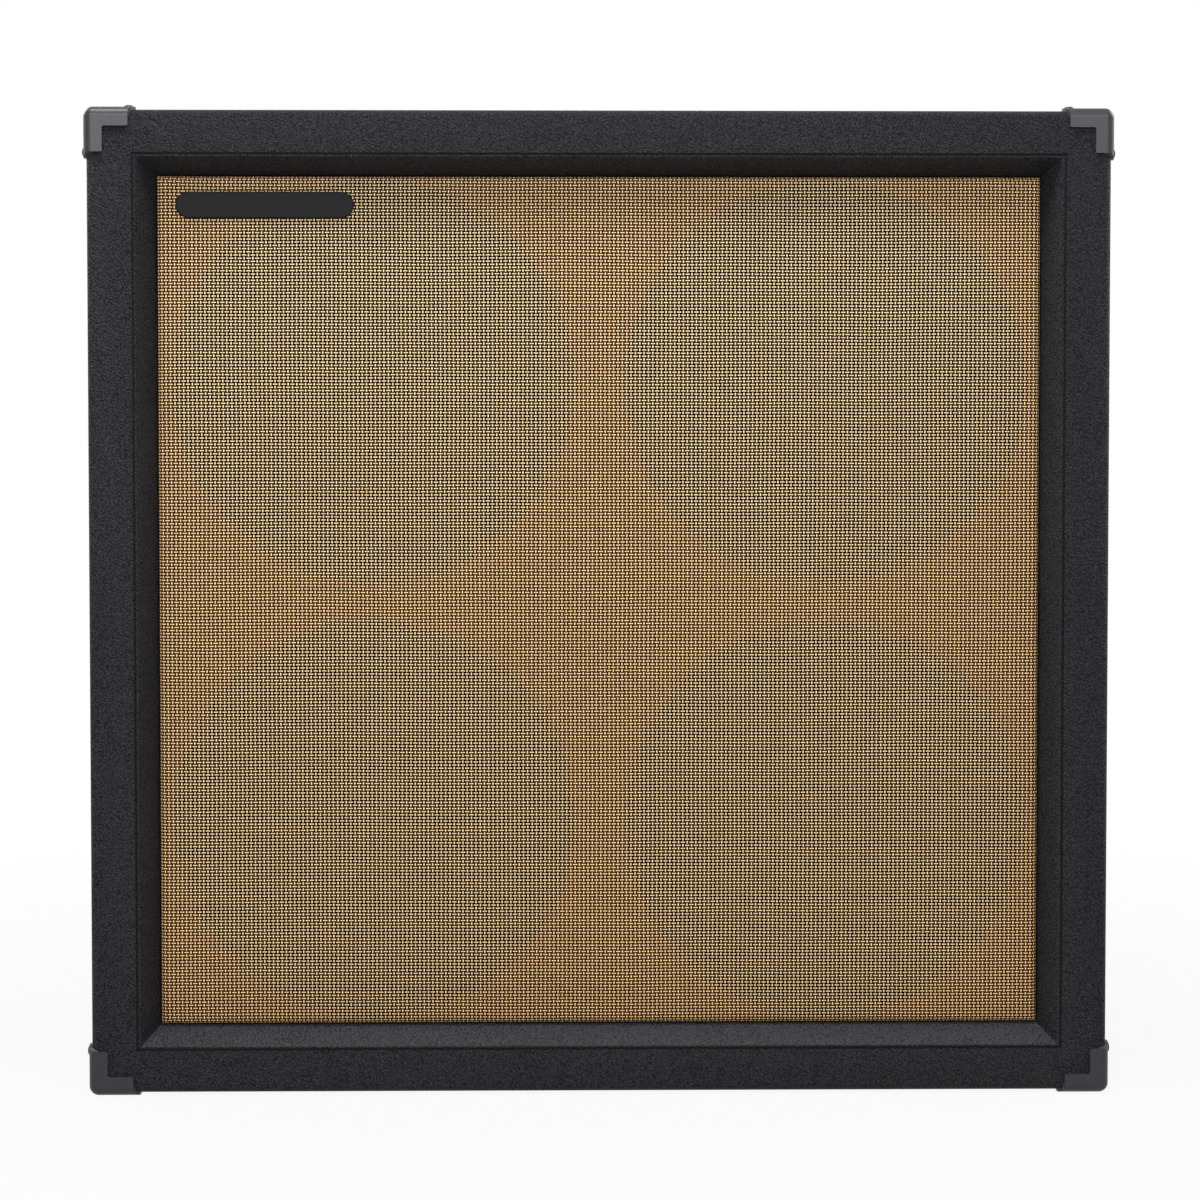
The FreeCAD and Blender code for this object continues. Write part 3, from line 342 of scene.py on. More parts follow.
pick(vinyl_skin, "edges", at_mouth)
bpy.ops.mesh.bevel(offset=mouth_rounding, segments=3, affect="EDGES")
handle_hole = start_box("handle_hole", (0.0, 0.0, handle_z), (1.0, hole_width, hole_height))
pick(handle_hole, "edges", lambda edge: abs(edge.verts[0].co.x - edge.verts[1].co.x) > 0.5)
bpy.ops.mesh.bevel(offset=hole_rounding, segments=6, affect="EDGES")
only(vinyl_skin)
wall = vinyl_skin.modifiers.new("wall", "SOLIDIFY")
wall.thickness = skin_thickness
wall.offset = -1.0
wall.use_even_offset = True
cut(vinyl_skin, handle_hole)
apply_all(vinyl_skin)
bpy.data.objects.remove(handle_hole)

pebbles_per_metre, pores_per_metre, patches_per_metre = 950.0, 2400.0, 9.0
pebble_lean, pebble_shape = math.radians(-46.0), (1.0, 1.2, 2.0)
drifts_per_metre, drift_reach = 60.0, (0.005, 0.005, 0.005)
seam_half, lip_middle, lip_half, crease_half = 0.0005, 0.00085, 0.0003, 0.0008
face_skin, pebble_relief, pore_share, patch_share = 0.001, 0.0009, 0.4, 0.035
# Painted shade in the crease, and painted light on the seam lips, the bevel and the ledge:
crease_painted_shade, lip_painted_highlight, bevel_painted_light, ledge_painted_light = 0.9, 0.5, 0.08, 0.4
vinyl, vinyl_shader = new_finish("grained_vinyl")
vinyl_shader.inputs["Specular IOR Level"].default_value = 0.12
place = add(vinyl, "TexCoord").outputs["Object"]
drift = noise(vinyl, place, drifts_per_metre, 2.0, "Color")
drift = add(vinyl, "VectorMath", {0: drift, 1: drift_reach}, operation="MULTIPLY").outputs[0]
bent = add(vinyl, "VectorMath", {0: place, 1: drift}, operation="ADD").outputs[0]
slant = {"Vector": bent, "Rotation": (0.0, pebble_lean, 0.0), "Scale": pebble_shape}
streaks = add(vinyl, "Mapping", slant, vector_type="TEXTURE").outputs[0]
pebbles = add(vinyl, "TexVoronoi", {"Vector": streaks, "Scale": pebbles_per_metre}, feature="F1")
pebbles = pebbles.outputs["Distance"]
pores = noise(vinyl, place, pores_per_metre, 3.0)
patches = noise(vinyl, place, patches_per_metre, 2.0)
height = sum_up(vinyl, "SUBTRACT", sum_up(vinyl, "MULTIPLY", pores, pore_share), pebbles)
height = between(vinyl, height, 0.0, 1.0, -0.65, 0.15)
x, y, z = add(vinyl, "SeparateXYZ", {0: place}).outputs
over_x = sum_up(vinyl, "SUBTRACT", sum_up(vinyl, "ABSOLUTE", x), face_half_width)
level = sum_up(vinyl, "ABSOLUTE", sum_up(vinyl, "SUBTRACT", z, middle))
over_z = sum_up(vinyl, "SUBTRACT", level, face_half_height)
off_mitre = sum_up(vinyl, "ABSOLUTE", sum_up(vinyl, "SUBTRACT", over_x, over_z))
in_bevel = sum_up(vinyl, "LESS_THAN", sum_up(vinyl, "MAXIMUM", over_x, over_z), 0.0)
bevel_foot = bevel_depth - half_depth + 2 * face_skin
in_bevel = sum_up(vinyl, "MULTIPLY", in_bevel, sum_up(vinyl, "LESS_THAN", y, bevel_foot))
seam = sum_up(vinyl, "MULTIPLY", in_bevel, sum_up(vinyl, "LESS_THAN", off_mitre, seam_half))
lip = sum_up(vinyl, "MULTIPLY", in_bevel, sum_up(vinyl, "COMPARE", off_mitre, lip_middle, lip_half))
# The crease mask follows the real groove round the mouth: it sinks the bump there and darkens the
# colour, as painted shade in the groove.
crease = sum_up(vinyl, "COMPARE", sum_up(vinyl, "MAXIMUM", over_x, over_z), crease_middle, crease_half)
crease = sum_up(vinyl, "MULTIPLY", crease, sum_up(vinyl, "LESS_THAN", y, face_skin - half_depth))
sunk = sum_up(vinyl, "MAXIMUM", seam, sum_up(vinyl, "MULTIPLY", crease, crease_painted_shade))
height = sum_up(vinyl, "SUBTRACT", height, sunk)
tone = sum_up(vinyl, "ADD", height, between(vinyl, patches, -patch_share, patch_share, 0.3, 0.7))
# Painted highlight along the narrow lips beside each mitre seam in the bevel.
tone = sum_up(vinyl, "ADD", tone, sum_up(vinyl, "MULTIPLY", lip, lip_painted_highlight))
# Painted light: the ledge, the lower bevel that faces up, is made lighter as if lit from above, and the
# whole bevel a little lighter too.
ledge = sum_up(vinyl, "MULTIPLY", in_bevel, sum_up(vinyl, "LESS_THAN", z, middle))
ledge = sum_up(vinyl, "MULTIPLY", ledge, sum_up(vinyl, "GREATER_THAN", over_z, over_x))
tone = sum_up(vinyl, "ADD", tone, sum_up(vinyl, "MULTIPLY", in_bevel, bevel_painted_light))
tone = sum_up(vinyl, "ADD", tone, sum_up(vinyl, "MULTIPLY", ledge, ledge_painted_light))
# The colour follows the tone: the grain's own tone, with painted shade in its hollows and pores and a
# painted highlight on its pebbles, random patches, and the painted marks above.
vinyl_colour = shades(
    vinyl,
    tone,
    [
        (0.0, (0.0022, 0.0022, 0.0027)),
        (0.4, (0.0128, 0.0129, 0.0151)),
        (0.8, (0.0232, 0.0234, 0.0272)),
        (1.0, (0.057, 0.0575, 0.066)),
    ],
)
vinyl_bump = add(vinyl, "Bump", {"Height": height, "Distance": pebble_relief, "Strength": 1.0})
feed(vinyl, vinyl_shader, Base_Color=vinyl_colour, Normal=vinyl_bump.outputs[0])
feed(vinyl, vinyl_shader, Roughness=between(vinyl, tone, 0.56, 0.38))
finish_piece(vinyl_skin, vinyl, "cabinet", "vinyl", "vinyl_covering")

# The grille board: fibreboard stained dark brown, with an opening in front of each driver and a
# rounded front edge, so that the cloth turns over it without a hard line.

stained_board = plain_finish(
    "stained_fibreboard", (0.03, 0.012, 0.005), (0.06, 0.025, 0.01), (700, 700, 700),
    rough=0.75, relief=0.0002,
)
dress(stained_board, "grille_board")

# The grille cloth: a coarse plain weave of glossy tan-gold yarn, stretched over the board, turned round
# its edges and stapled behind. Its colour carries painted highlights on the yarn crests, painted shade
# where the yarns dip and at their edges, and painted gaps between the yarns.
(_, cloth_front, cloth_foot), (cloth_half_width, cloth_back, cloth_top) = measured("grille_cloth")
cloth_half_height = (cloth_top - cloth_foot) / 2
cloth_fold, cloth_round = 0.020, 0.006
warp_pitch, weft_pitch = 0.00326, 0.00237
weft_half, warp_half, weave_relief = 0.155, 0.135, 0.0006
pulls_per_metre, pull_reach = 9.0, (0.0016, 0.0016, 0.0)
swell_share, wave_share, bulge_share, ground_share = 0.16, 0.3, 0.4, 0.3
(cone_left, _, cone_foot), (cone_right, _, cone_top) = measured("cone_2")
opening_x, opening_z = (cone_left + cone_right) / 2, (cone_foot + cone_top) / 2 - middle
opening_radius, edge_blur = 0.15105, 0.001
warm_inside, warm_outside, warm_low, warm_high = 0.012, 0.010, 0.05, 0.69

cloth = start_box(
    "grille_cloth_woven",
    (0.0, (cloth_front + cloth_back) / 2, middle),
    (2 * cloth_half_width, cloth_back - cloth_front, 2 * cloth_half_height),
)
pick(cloth, "faces", lambda face: face.normal.y > 0.9)
bpy.ops.mesh.delete(type="ONLY_FACE")
pick(cloth, "edges", lambda edge: max(vertex.co.y for vertex in edge.verts) < cloth_front + hair)
bpy.ops.mesh.bevel(offset=cloth_round, segments=5, affect="EDGES")
pick(cloth, "edges", lambda edge: edge.is_boundary)
bpy.ops.mesh.extrude_edges_move(TRANSFORM_OT_translate={"value": (0.0, 0.0, 0.0)})
bpy.ops.transform.resize(
    value=(1 - cloth_fold / cloth_half_width, 1.0, 1 - cloth_fold / cloth_half_height),
    center_override=(0.0, 0.0, middle),
)
bpy.ops.mesh.select_all(action="SELECT")
bpy.ops.mesh.subdivide(number_cuts=11)
bpy.ops.mesh.normals_make_consistent(inside=False)
bpy.ops.object.mode_set(mode="OBJECT")


def along_cloth(across, depth, half):
    """How far a point of the turned cloth lies from its middle, measured along the cloth."""
    if depth < cloth_front + cloth_round and abs(across) <= half - cloth_round:
        run = abs(across)
    elif depth < cloth_front + cloth_round:
        turn = math.atan2(abs(across) - half + cloth_round, cloth_front + cloth_round - depth)
        run = half - cloth_round + cloth_round * turn
    else:
        run = half - cloth_round + cloth_round * math.pi / 2 + depth - cloth_front - cloth_round
        run += half - abs(across) if depth > cloth_back - 10 * hair else 0.0
    return math.copysign(run, across)


flat = cloth.data.uv_layers.new(name="along_cloth")
for face in cloth.data.polygons:
    sideways = abs(face.normal.x) > abs(face.normal.z)
    for corner in face.loop_indices:
        spot = cloth.data.vertices[cloth.data.loops[corner].vertex_index].co
        u, v = spot.x, spot.z - middle
        if abs(u) > cloth_half_width - cloth_round - hair and (sideways or face.normal.y < -0.3):
            u = along_cloth(u, spot.y, cloth_half_width)
        if abs(v) > cloth_half_height - cloth_round - hair and not sideways:
            v = along_cloth(v, spot.y, cloth_half_height)
        flat.data[corner].uv = (u, v)

weave, weave_shader = new_finish("woven_grille_cloth")
weave_shader.inputs["Specular IOR Level"].default_value = 0.06
spot = add(weave, "UVMap", uv_map="along_cloth").outputs[0]
pull = noise(weave, spot, pulls_per_metre, 1.0, "Color")
pull = add(weave, "VectorMath", {0: pull, 1: pull_reach}, operation="MULTIPLY").outputs[0]
pulled = add(weave, "VectorMath", {0: spot, 1: pull}, operation="ADD").outputs[0]
u, v, _ = add(weave, "SeparateXYZ", {0: pulled}).outputs
warp_count = sum_up(weave, "DIVIDE", u, warp_pitch)
weft_count = sum_up(weave, "DIVIDE", v, weft_pitch)


def yarn(count, other_count, wide, crest, stops):
    """One set of yarns, from its own count and the other set's: (height, cover, index, colour)."""
    index = sum_up(weave, "FLOOR", count)
    off = sum_up(weave, "ABSOLUTE", sum_up(weave, "SUBTRACT", sum_up(weave, "FRACT", count), 0.5))
    along = sum_up(weave, "ADD", sum_up(weave, "SUBTRACT", other_count, 0.5), index)
    wave = sum_up(weave, "COSINE", sum_up(weave, "MULTIPLY", along, math.pi))
    wave = sum_up(weave, "MULTIPLY", wave, crest)
    half = sum_up(weave, "ADD", sum_up(weave, "MULTIPLY", wave, swell_share * wide), wide)
    share = sum_up(weave, "DIVIDE", off, half)
    hollow = sum_up(weave, "SUBTRACT", 1.0, sum_up(weave, "POWER", share, 2.0))
    bulge = sum_up(weave, "SQRT", sum_up(weave, "MAXIMUM", hollow, 0.0))
    cover = between(weave, share, 1.0, 0.0, 0.9, 1.05)
    rolled = sum_up(weave, "MULTIPLY", bulge, bulge_share)
    tall = sum_up(weave, "ADD", sum_up(weave, "MULTIPLY", wave, wave_share), rolled)
    tall = sum_up(weave, "MULTIPLY", sum_up(weave, "ADD", tall, ground_share), cover)
    # Along the yarn the colour follows its wave: painted shade where it dips under the other set, a
    # painted highlight near the top of the wave; the scale below darkens it towards its edges, as
    # painted shade on its round.
    colour = shades(weave, between(weave, wave, 0.0, 1.0, -1.0, 1.0), stops)
    shaded = {0: colour, "Scale": between(weave, bulge, 0.5, 1.0)}
    return tall, cover, index, add(weave, "VectorMath", shaded, operation="SCALE").outputs[0]


# Colour stops along the wave, from the dip to the crest: near black as painted shade, pale as painted
# highlight.
weft_highlight_and_shade_stops = [
    (0.0, (0.012, 0.005, 0.002)),
    (0.44, (0.06, 0.028, 0.01)),
    (0.58, (0.80, 0.61, 0.35)),
    (0.70, (1.0, 0.93, 0.73)),
    (1.0, (0.72, 0.53, 0.26)),
]
warp_highlight_and_shade_stops = [
    (0.0, (0.012, 0.006, 0.002)),
    (0.46, (0.11, 0.055, 0.018)),
    (0.74, (0.60, 0.42, 0.17)),
    (1.0, (1.0, 0.87, 0.61)),
]
weft = yarn(weft_count, warp_count, weft_half, 1.0, weft_highlight_and_shade_stops)
warp = yarn(warp_count, weft_count, warp_half, -1.0, warp_highlight_and_shade_stops)
weft_height, weft_cover, weft_index, weft_colour = weft
warp_height, warp_cover, warp_index, warp_colour = warp
weave_height = sum_up(weave, "MAXIMUM", weft_height, warp_height)
cover = sum_up(weave, "MAXIMUM", weft_cover, warp_cover)
weft_over = sum_up(weave, "GREATER_THAN", weft_height, warp_height)
pair = add(weave, "CombineXYZ", {0: weft_index, 1: warp_index}).outputs[0]
odd = add(weave, "TexWhiteNoise", {"Vector": pair}, noise_dimensions="2D").outputs["Value"]
yarn_mix = add(weave, "Mix", {"Factor": weft_over, "A": warp_colour, "B": weft_colour}, data_type="RGBA")
uneven = {0: yarn_mix.outputs["Result"], "Scale": between(weave, odd, 0.88, 1.0)}
yarn_colour = add(weave, "VectorMath", uneven, operation="SCALE").outputs[0]
object_place = add(weave, "TexCoord").outputs["Object"]
x, _, z = add(weave, "SeparateXYZ", {0: object_place}).outputs
from_x = sum_up(weave, "SUBTRACT", sum_up(weave, "ABSOLUTE", x), opening_x)
level = sum_up(weave, "ABSOLUTE", sum_up(weave, "SUBTRACT", z, middle))
from_z = sum_up(weave, "SUBTRACT", level, opening_z)
square_x = sum_up(weave, "MULTIPLY", from_x, from_x)
square_z = sum_up(weave, "MULTIPLY", from_z, from_z)
reach = sum_up(weave, "SQRT", sum_up(weave, "ADD", square_x, square_z))
# Between the yarns the gaps are painted: the stained board's brown deepened by painted shade, and near
# black over the openings, as painted shade for the dark cavity behind the cloth.
on_board = between(weave, reach, 0.0, 1.0, opening_radius - edge_blur, opening_radius + edge_blur)
gap_board_and_shade = shades(weave, on_board, [(0.0, (0.001, 0.0007, 0.0005)), (1.0, (0.02, 0.006, 0.002))])
# The yarn is tinted paler at the top and deeper gold towards the bottom, as painted light falling from
# above, and warmer where it lies over the board.
lower = between(weave, z, 1.0, 0.0, warm_low, warm_high)
warm_start, warm_finish = opening_radius - warm_inside, opening_radius + warm_outside
near_board = between(weave, reach, 0.0, 1.0, warm_start, warm_finish)
warmth = sum_up(weave, "MULTIPLY", sum_up(weave, "ADD", near_board, lower), 0.5)
tint = shades(weave, warmth, [(0.0, (1.03, 0.99, 0.92)), (1.0, (1.15, 0.925, 0.70))])
tint_inputs = {"Factor": 1.0, "A": yarn_colour, "B": tint}
tinted = add(weave, "Mix", tint_inputs, data_type="RGBA", blend_type="MULTIPLY").outputs["Result"]
cloth_colour = add(weave, "Mix", {"Factor": cover, "A": gap_board_and_shade, "B": tinted}, data_type="RGBA")
weave_bump = add(weave, "Bump", {"Height": weave_height, "Distance": weave_relief, "Strength": 0.5})
feed(weave, weave_shader, Base_Color=cloth_colour.outputs["Result"], Normal=weave_bump.outputs[0])
feed(weave, weave_shader, Roughness=between(weave, weave_height, 0.85, 0.42))
finish_piece(cloth, weave, "cabinet", "cloth", "grille_cloth")

# The badge plate: a bare pill of satin charcoal plastic with a softened edge, held by two pins
# that go through the cloth into the board.
merge_within, flat_within = 0.000005, math.radians(1.0)
soften_above = math.radians(40.0)


def copy_of(piece, name):
    """A copy of an object, with a mesh of its own."""
    copy = bpy.data.objects.new(name, piece.data.copy())
    bpy.context.scene.collection.objects.link(copy)
    return copy


def softened(node, name, width):
    """A copy of a CAD node with its triangles merged and its hard edges rounded off."""
    piece = copy_of(nodes[node], name)
    only(piece)
    bpy.ops.object.mode_set(mode="EDIT")
    bpy.ops.mesh.select_all(action="SELECT")
    bpy.ops.mesh.remove_doubles(threshold=merge_within)
    bpy.ops.mesh.dissolve_limited(angle_limit=flat_within)
    bpy.ops.object.mode_set(mode="OBJECT")
    edge = piece.modifiers.new("edge", "BEVEL")
    edge.width = width
    edge.segments = 2
    edge.limit_method = "ANGLE"
    edge.angle_limit = soften_above
    apply_all(piece)
    bpy.ops.object.shade_smooth_by_angle(angle=smooth_below)
    flats = piece.modifiers.new("flats", "WEIGHTED_NORMAL")
    flats.weight = 100
    flats.keep_sharp = True
    apply_all(piece)
    return piece


badge_satin = plain_finish(
    "badge_satin", (0.006, 0.006, 0.0062), (0.01, 0.01, 0.0105), (1500, 1500, 1500),
    rough=0.55, relief=0.00005, metallic=0.0, specular=0.1,
)
badge = softened("badge_plate", "badge_plate_bare", width=0.0005)
finish_piece(badge, badge_satin, "cabinet", "badge", "badge_plate")

# The corner protectors: black moulded plastic, three L-shaped plates that meet round each corner
# of the box, held by a screw in the level plate and one in the side plate.

corner_plastic = plain_finish(
    "moulded_corner_plastic", (0.016, 0.0155, 0.018), (0.028, 0.027, 0.032), (900, 900, 900),
    rough=0.36, relief=0.00006, metallic=0.0, specular=0.3,
)
for depth in ("front", "rear"):
    for rise in ("top", "bottom"):
        for side in ("left", "right"):
            node = "corner_%s_%s_%s" % (depth, rise, side)
            corner = softened(node, node + "_moulded", width=0.0006)
            finish_piece(corner, corner_plastic, "cabinet", "corner_plastic", node)

# The screws that show: black cross-head screws, countersunk with a raised head in the corner
# protectors, flush underneath, and with a pan head in the handles, the back and the input dish.
shank_radius, head_radius, head_height = 0.0018, 0.0038, 0.0016
back_head_radius, back_head_height = 0.0044, 0.0022
rim_share, countersink_depth, seat_step = 0.45, 0.002, 0.00002
screw_sides, turn_between, dome_turns = 28, 37.0, (20.0, 40.0, 58.0, 74.0)
recess_long, recess_wide, recess_deep, recess_foot = 1.15, 0.26, 0.0026, 0.5
short_length, dish_length, back_length = 0.015, 0.013, 0.028
corner_wall = measured("corner_front_top_right")[1][0] - half_width
corner_inset, corner_edge = 0.031, 0.008
handle_sheet, handle_screw_y, handle_screw_z = -handle_out - half_width, 0.081, 0.056
back_face = measured("back_panel")[1][1]
back_u, back_v, brace_v = 0.3512, 0.3372, 0.01125
level_shares, side_shares = (-0.96, -0.33, 0.33, 0.96), (-0.5, 0.0, 0.5)
(_, _, dish_foot), (_, dish_face, dish_top) = measured("jack_dish")
dish_z = (dish_foot + dish_top) / 2
dish_screw_x, dish_screw_z = 0.054, 0.035


def turned_piece(name, sides, profile):
    """A round piece along Z: a cylinder whose top is drawn out through (level, radius) points."""
    let_go()
    (level, radius), (top, _) = profile[:2]
    bpy.ops.mesh.primitive_cylinder_add(
        vertices=sides, radius=radius, depth=top - level, location=(0.0, 0.0, (level + top) / 2)
    )
    bpy.ops.object.transform_apply(location=True, rotation=True, scale=True)
    piece = bpy.context.object
    piece.name = name
    pick(piece, "faces", lambda face: face.normal.z > 0.99)
    level = top
    for next_level, next_radius in profile[1:]:
        if next_level > level:
            rise = (0.0, 0.0, next_level - level)
            bpy.ops.mesh.extrude_region_move(TRANSFORM_OT_translate={"value": rise})
        share = next_radius / radius
        bpy.ops.transform.resize(value=(share, share, 1.0), center_override=(0.0, 0.0, 0.0))
        level, radius = next_level, next_radius
    bpy.ops.object.mode_set(mode="OBJECT")
    return piece


def cross_head(name, length, wide, tall, seat):
    """A screw along Z, seated at zero: a pan head, or a countersunk one, raised or flat on top."""
    profile = [(-length, shank_radius / 2), (shank_radius - length, shank_radius)]
    if seat == "pan":
        rim = tall * rim_share
        profile += [(0.0, shank_radius), (seat_step, wide), (rim, wide)]
    else:
        rim = 0.0
        profile += [(-countersink_depth, shank_radius), (0.0, wide)]
    if seat != "flat":
        for turn in dome_turns:
            rise = (tall - rim) * math.sin(math.radians(turn))
            profile.append((rim + rise, wide * math.cos(math.radians(turn))))
    screw = turned_piece(name, screw_sides, profile)
    top = profile[-1][0]
    cutters = []
    for share_x, share_y in ((recess_long, recess_wide), (recess_wide, recess_long)):
        cutter = start_box("recess", (0.0, 0.0, top), (share_x * wide, share_y * wide, recess_deep))
        pick(cutter, "faces", lambda face: face.normal.z < -0.9)
        bpy.ops.transform.resize(value=(recess_foot, recess_foot, 1.0), center_override=(0.0, 0.0, 0.0))
        bpy.ops.object.mode_set(mode="OBJECT")
        cut(screw, cutter)
        cutters.append(cutter)
    apply_all(screw)
    for cutter in cutters:
        bpy.data.objects.remove(cutter)
    return screw


def drive_in(name, node, *sets):
    """One piece for a node: screws at (spot, direction) pairs, each turned its own way."""
    copies = []
    for screw, places in sets:
        for spot, way in places:
            copy = copy_of(screw, name)
            spin = Quaternion((0.0, 0.0, 1.0), math.radians(turn_between * len(copies)))
            copy.rotation_mode = "QUATERNION"
            copy.rotation_quaternion = Vector(way).to_track_quat("Z", "Y") @ spin
            copy.location = spot
            copies.append(copy)
        bpy.data.objects.remove(screw)
    only(copies[0])
    for copy in copies:
        copy.select_set(True)
    bpy.ops.object.join()
    bpy.ops.object.transform_apply(location=True, rotation=True, scale=True)
    finish_piece(copies[0], black_screw, "cabinet", "black_screw", node)


black_screw = plain_finish(
    "black_screw", (0.012, 0.012, 0.013), (0.03, 0.03, 0.031), (1200, 1200, 1200),
    rough=0.38, relief=0.00004, metallic=0.6,
)
signs = (-1.0, 1.0)
level_x, side_z = half_width - corner_inset, half_height - corner_inset
corner_y = half_depth - corner_edge
raised_places = [
    ((sx * level_x, sy * corner_y, middle + half_height + corner_wall), (0.0, 0.0, 1.0))
    for sx in signs
    for sy in signs
]
flush_places = [
    ((sx * level_x, sy * corner_y, middle - half_height - corner_wall), (0.0, 0.0, -1.0))
    for sx in signs
    for sy in signs
]
raised_places += [
    ((sx * (half_width + corner_wall), sy * corner_y, middle + sz * side_z), (sx, 0.0, 0.0))
    for sx in signs
    for sy in signs
    for sz in signs
]
drive_in(
    "corner_screws_driven",
    "corner_screws",
    (cross_head("raised_screw", short_length, head_radius, head_height, "raised"), raised_places),
    (cross_head("flush_screw", short_length, head_radius, head_height, "flat"), flush_places),
)
handle_places = [
    (
        (sx * (half_width + handle_sheet), sy * handle_screw_y, handle_z + sz * handle_screw_z),
        (sx, 0.0, 0.0),
    )
    for sx in signs
    for sy in signs
    for sz in signs
]
drive_in(
    "handle_screws_driven",
    "handle_screws",
    (cross_head("handle_screw", short_length, head_radius, head_height, "pan"), handle_places),
)
back_spots = [(share * back_u, side * back_v) for side in signs for share in level_shares]
back_spots += [(side * back_u, share * back_v) for side in signs for share in side_shares]
back_spots += [(0.0, side * brace_v) for side in signs]
drive_in(
    "back_panel_screws_driven",
    "back_panel_screws",
    (
        cross_head("back_screw", back_length, back_head_radius, back_head_height, "pan"),
        [((u, back_face, middle + v), (0.0, 1.0, 0.0)) for u, v in back_spots],
    ),
)
dish_places = [
    ((sx * dish_screw_x, dish_face, dish_z + sz * dish_screw_z), (0.0, 1.0, 0.0))
    for sx in signs
    for sz in signs
]
drive_in(
    "input_dish_screws_driven",
    "jack_dish_screws",
    (cross_head("dish_screw", dish_length, head_radius, head_height, "pan"), dish_places),
)

# The handles: a pressed steel dish in each side, powder-coated black, and across its mouth a steel
# bar in a ribbed rubber sleeve.
(grip_in, _, grip_foot), (grip_out, _, grip_top) = measured("handle_grip_right")
grip_x, grip_z = (grip_in + grip_out) / 2, (grip_foot + grip_top) / 2
bar_radius, bar_half = 0.0055, 0.0718
sleeve_radius, sleeve_half, sleeve_rounding = (grip_top - grip_foot) / 2, 0.059, 0.0035
rib_pitch, rib_groove, rib_count = 0.0065, 0.0006, 15
groove_half, groove_foot, foot_share, grip_sides = 0.0011, 0.0006, 0.8, 40

powder_coat = plain_finish(
    "powder_coat", (0.012, 0.012, 0.013), (0.028, 0.028, 0.03), (1800, 1800, 1800),
    rough=0.48, relief=0.00015,
)
grip_rubber = plain_finish(
    "grip_rubber", (0.01, 0.01, 0.01), (0.022, 0.022, 0.022), (1500, 300, 1500),
    rough=0.7, relief=0.0001,
)
rounded_end = []
for turn in (0.0, 30.0, 60.0, 90.0):
    inward = sleeve_rounding * (1.0 - math.cos(math.radians(turn)))
    drop = sleeve_rounding * (1.0 - math.sin(math.radians(turn)))
    rounded_end.append((inward - sleeve_half, sleeve_radius - drop))
groove = [
    (-groove_half, 0.0),
    (-groove_foot, foot_share * rib_groove),
    (0.0, rib_groove),
    (groove_foot, foot_share * rib_groove),
    (groove_half, 0.0),
]
bar_profile = [(-bar_half, bar_radius), (-sleeve_half - seat_step, bar_radius)] + rounded_end
for rib in range(rib_count):
    centre = (rib - (rib_count - 1) / 2) * rib_pitch
    bar_profile += [(centre + off, sleeve_radius - drop) for off, drop in groove]
bar_profile += [(-level, radius) for level, radius in reversed(rounded_end)]
bar_profile += [(sleeve_half + seat_step, bar_radius), (bar_half, bar_radius)]
ribbed_bar = turned_piece("ribbed_bar", grip_sides, bar_profile)
for side in ("left", "right"):
    dish = softened("handle_dish_" + side, "handle_dish_%s_pressed" % side, width=0.0005)
    finish_piece(dish, powder_coat, "cabinet", "black_steel", "handle_dish_" + side)
    grip = copy_of(ribbed_bar, "handle_grip_%s_ribbed" % side)
    grip.location = (grip_x if side == "right" else -grip_x, 0.0, grip_z)
    grip.rotation_euler = (math.radians(90.0), 0.0, 0.0)
    only(grip)
    bpy.ops.object.transform_apply(location=True, rotation=True, scale=True)
    finish_piece(grip, grip_rubber, "cabinet", "grip_plastic", "handle_grip_" + side)
bpy.data.objects.remove(ribbed_bar)

# The back: a board with a black textured face, set into the rear rebate and screwed to the cleats,
# with a moulded dish that carries two sockets with plated nuts.

back_texture = plain_finish(
    "black_textured_back", (0.005, 0.005, 0.0055), (0.024, 0.024, 0.026), (420, 420, 420),
    rough=0.6, relief=0.0009, metallic=0.0, specular=0.3,
)
dish_plastic = plain_finish(
    "dish_plastic", (0.014, 0.014, 0.015), (0.028, 0.028, 0.03), (1500, 1500, 1500),
    rough=0.45, relief=0.0001,
)
nickel = plain_finish(
    "nickel_plate", (0.58, 0.56, 0.52), (0.74, 0.72, 0.68), (500, 500, 500),
    rough=0.25, relief=0.00003, metallic=1.0,
)
back_board = softened("back_panel", "back_panel_textured", width=0.0012)
finish_piece(back_board, back_texture, "cabinet", "back_board", "back_panel")
input_dish = softened("jack_dish", "input_dish_moulded", width=0.0006)
finish_piece(input_dish, dish_plastic, "cabinet", "dish_plastic", "jack_dish")
nuts = softened("jack_nuts", "socket_nuts", width=0.0004)
finish_piece(nuts, nickel, "cabinet", "nut_metal", "jack_nuts")
dress(dish_plastic, "input_jacks")

# The studio: a wide pale floor, a soft lamp above the front, one at each side of the camera, and
# two behind for the sides and the back. The floor and the world are white to the camera.
floor_size, floor_drop = 24.0, 0.0004
shadow_near, shadow_far, shadow_white = 0.5, 1.3, 0.92
sky_light = 0.13


def white_rays(owner):
    """One for rays that see a white background: from the camera, off gloss and through glass."""
    seen = add(owner, "LightPath").outputs
    seen_white = sum_up(owner, "MAXIMUM", seen["Is Camera Ray"], seen["Is Glossy Ray"])
    return sum_up(owner, "MAXIMUM", seen_white, seen["Is Transmission Ray"])


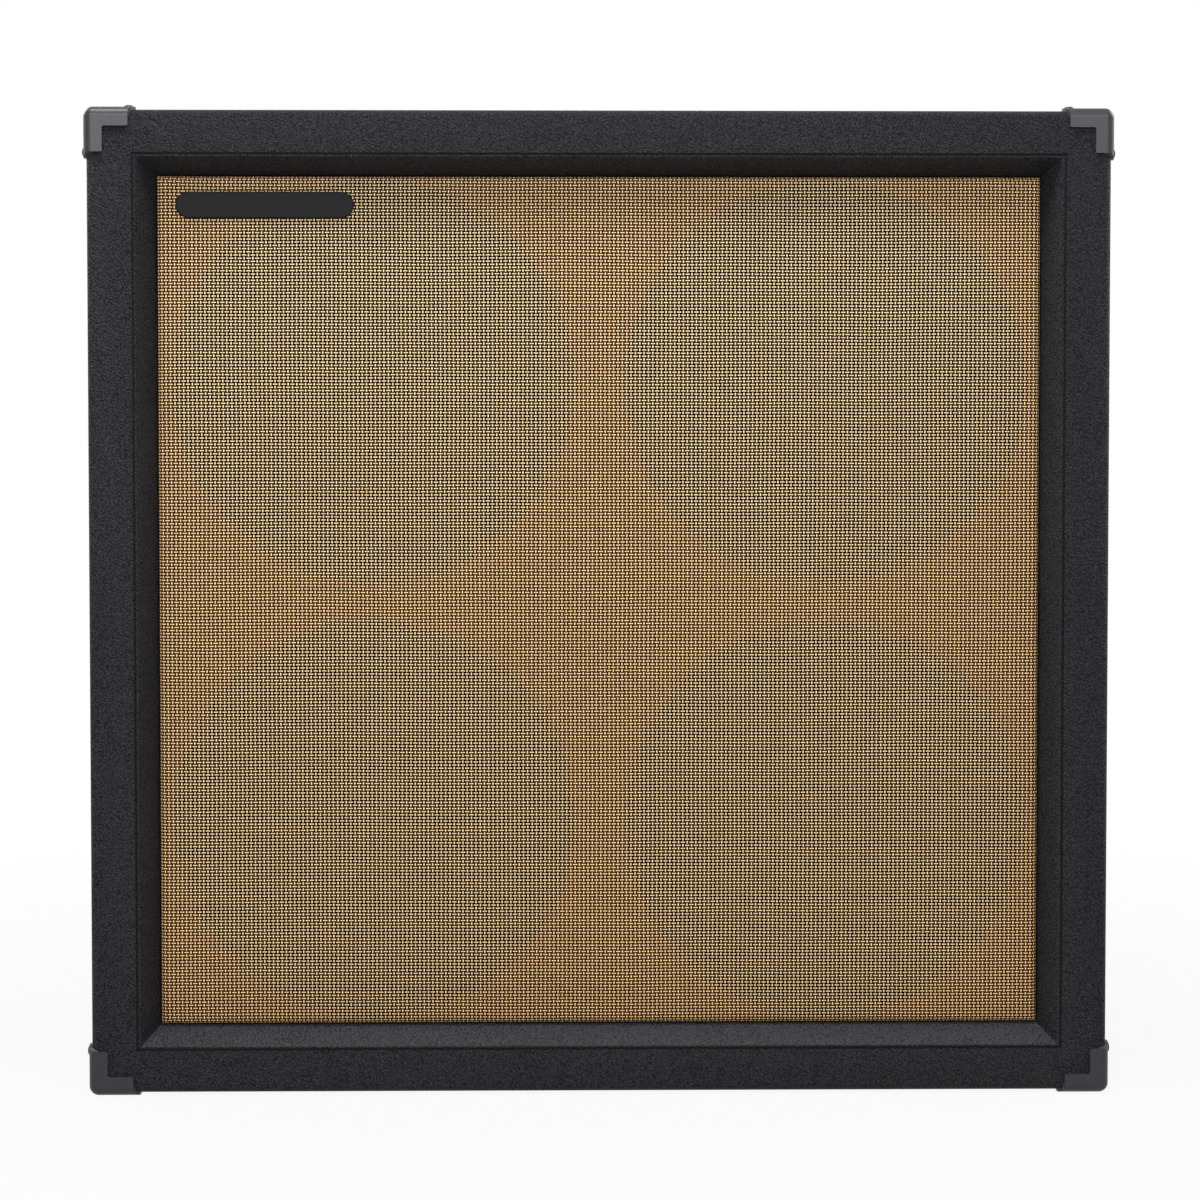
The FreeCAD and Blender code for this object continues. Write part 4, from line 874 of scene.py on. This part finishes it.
let_go()
bpy.ops.mesh.primitive_plane_add(size=floor_size, location=(0.0, 0.0, -floor_drop))
floor = bpy.context.object
floor.name = "studio_floor"
paper, paper_shader = new_finish("floor_paper")
paper.node_tree.nodes.remove(paper_shader)
glow = add(paper, "Emission", {"Color": (1.0, 1.0, 1.0, 1.0), "Strength": 1.0}).outputs[0]
matt = add(paper, "BsdfDiffuse", {"Color": (0.4, 0.4, 0.4, 1.0)}).outputs[0]
spot = add(paper, "TexCoord").outputs["Object"]
from_middle = add(paper, "VectorMath", {0: spot}, operation="LENGTH").outputs["Value"]
share = between(paper, from_middle, shadow_white, 1.0, shadow_near, shadow_far)
share = sum_up(paper, "MULTIPLY", white_rays(paper), share)
blend = add(paper, "MixShader", {0: share, 1: matt, 2: glow}).outputs[0]
paper.node_tree.links.new(blend, paper.node_tree.nodes["Material Output"].inputs["Surface"])
floor.data.materials.append(paper)

world = bpy.data.worlds.new("studio")
bpy.context.scene.world = world
world.use_nodes = True
sky = world.node_tree.nodes["Background"]
sky.inputs["Color"].default_value = (1.0, 1.0, 1.0, 1.0)
world.node_tree.links.new(between(world, white_rays(world), sky_light, 1.0), sky.inputs["Strength"])


def lamp(name, place, aim, size, power):
    """A soft rectangular lamp, turned towards a point."""
    data = bpy.data.lights.new(name, "AREA")
    data.shape = "RECTANGLE"
    data.size, data.size_y = size
    data.energy = power
    made = bpy.data.objects.new(name, data)
    made.location = place
    made.rotation_euler = (Vector(aim) - Vector(place)).to_track_quat("-Z", "Y").to_euler()
    bpy.context.scene.collection.objects.link(made)


lamp("above_front", (-0.2, -0.65, 1.9), aim=(0.0, -0.17, 0.2), size=(1.2, 0.4), power=28.0)
lamp("front_left", (-0.78, -2.3, 1.34), aim=(0.0, 0.0, 0.45), size=(1.3, 1.2), power=36.0)
lamp("front_right", (0.95, -2.25, 1.4), aim=(0.0, 0.0, 0.45), size=(1.3, 1.2), power=24.0)
lamp("back_left", (-2.1, 1.7, 1.9), aim=(0.0, 0.0, 0.4), size=(2.0, 1.4), power=58.0)
lamp("back_right", (2.3, 0.9, 1.8), aim=(0.0, 0.0, 0.4), size=(2.0, 1.4), power=54.0)

camera_aside, camera_away, camera_above = -0.03, 2.02, 0.12
camera_tilt, camera_turn = math.radians(90.0 - 2.05), math.radians(-0.847)
camera_data = bpy.data.cameras.new("camera")
camera_data.sensor_width = 36.0
camera_data.lens = 81.33
camera_data.shift_y = -0.05
camera = bpy.data.objects.new("camera", camera_data)
camera.location = (camera_aside, -half_depth - camera_away, middle + camera_above)
camera.rotation_euler = (camera_tilt, 0.0, camera_turn)
bpy.context.scene.collection.objects.link(camera)
bpy.context.scene.camera = camera
bpy.context.scene.view_settings.view_transform = "Standard"
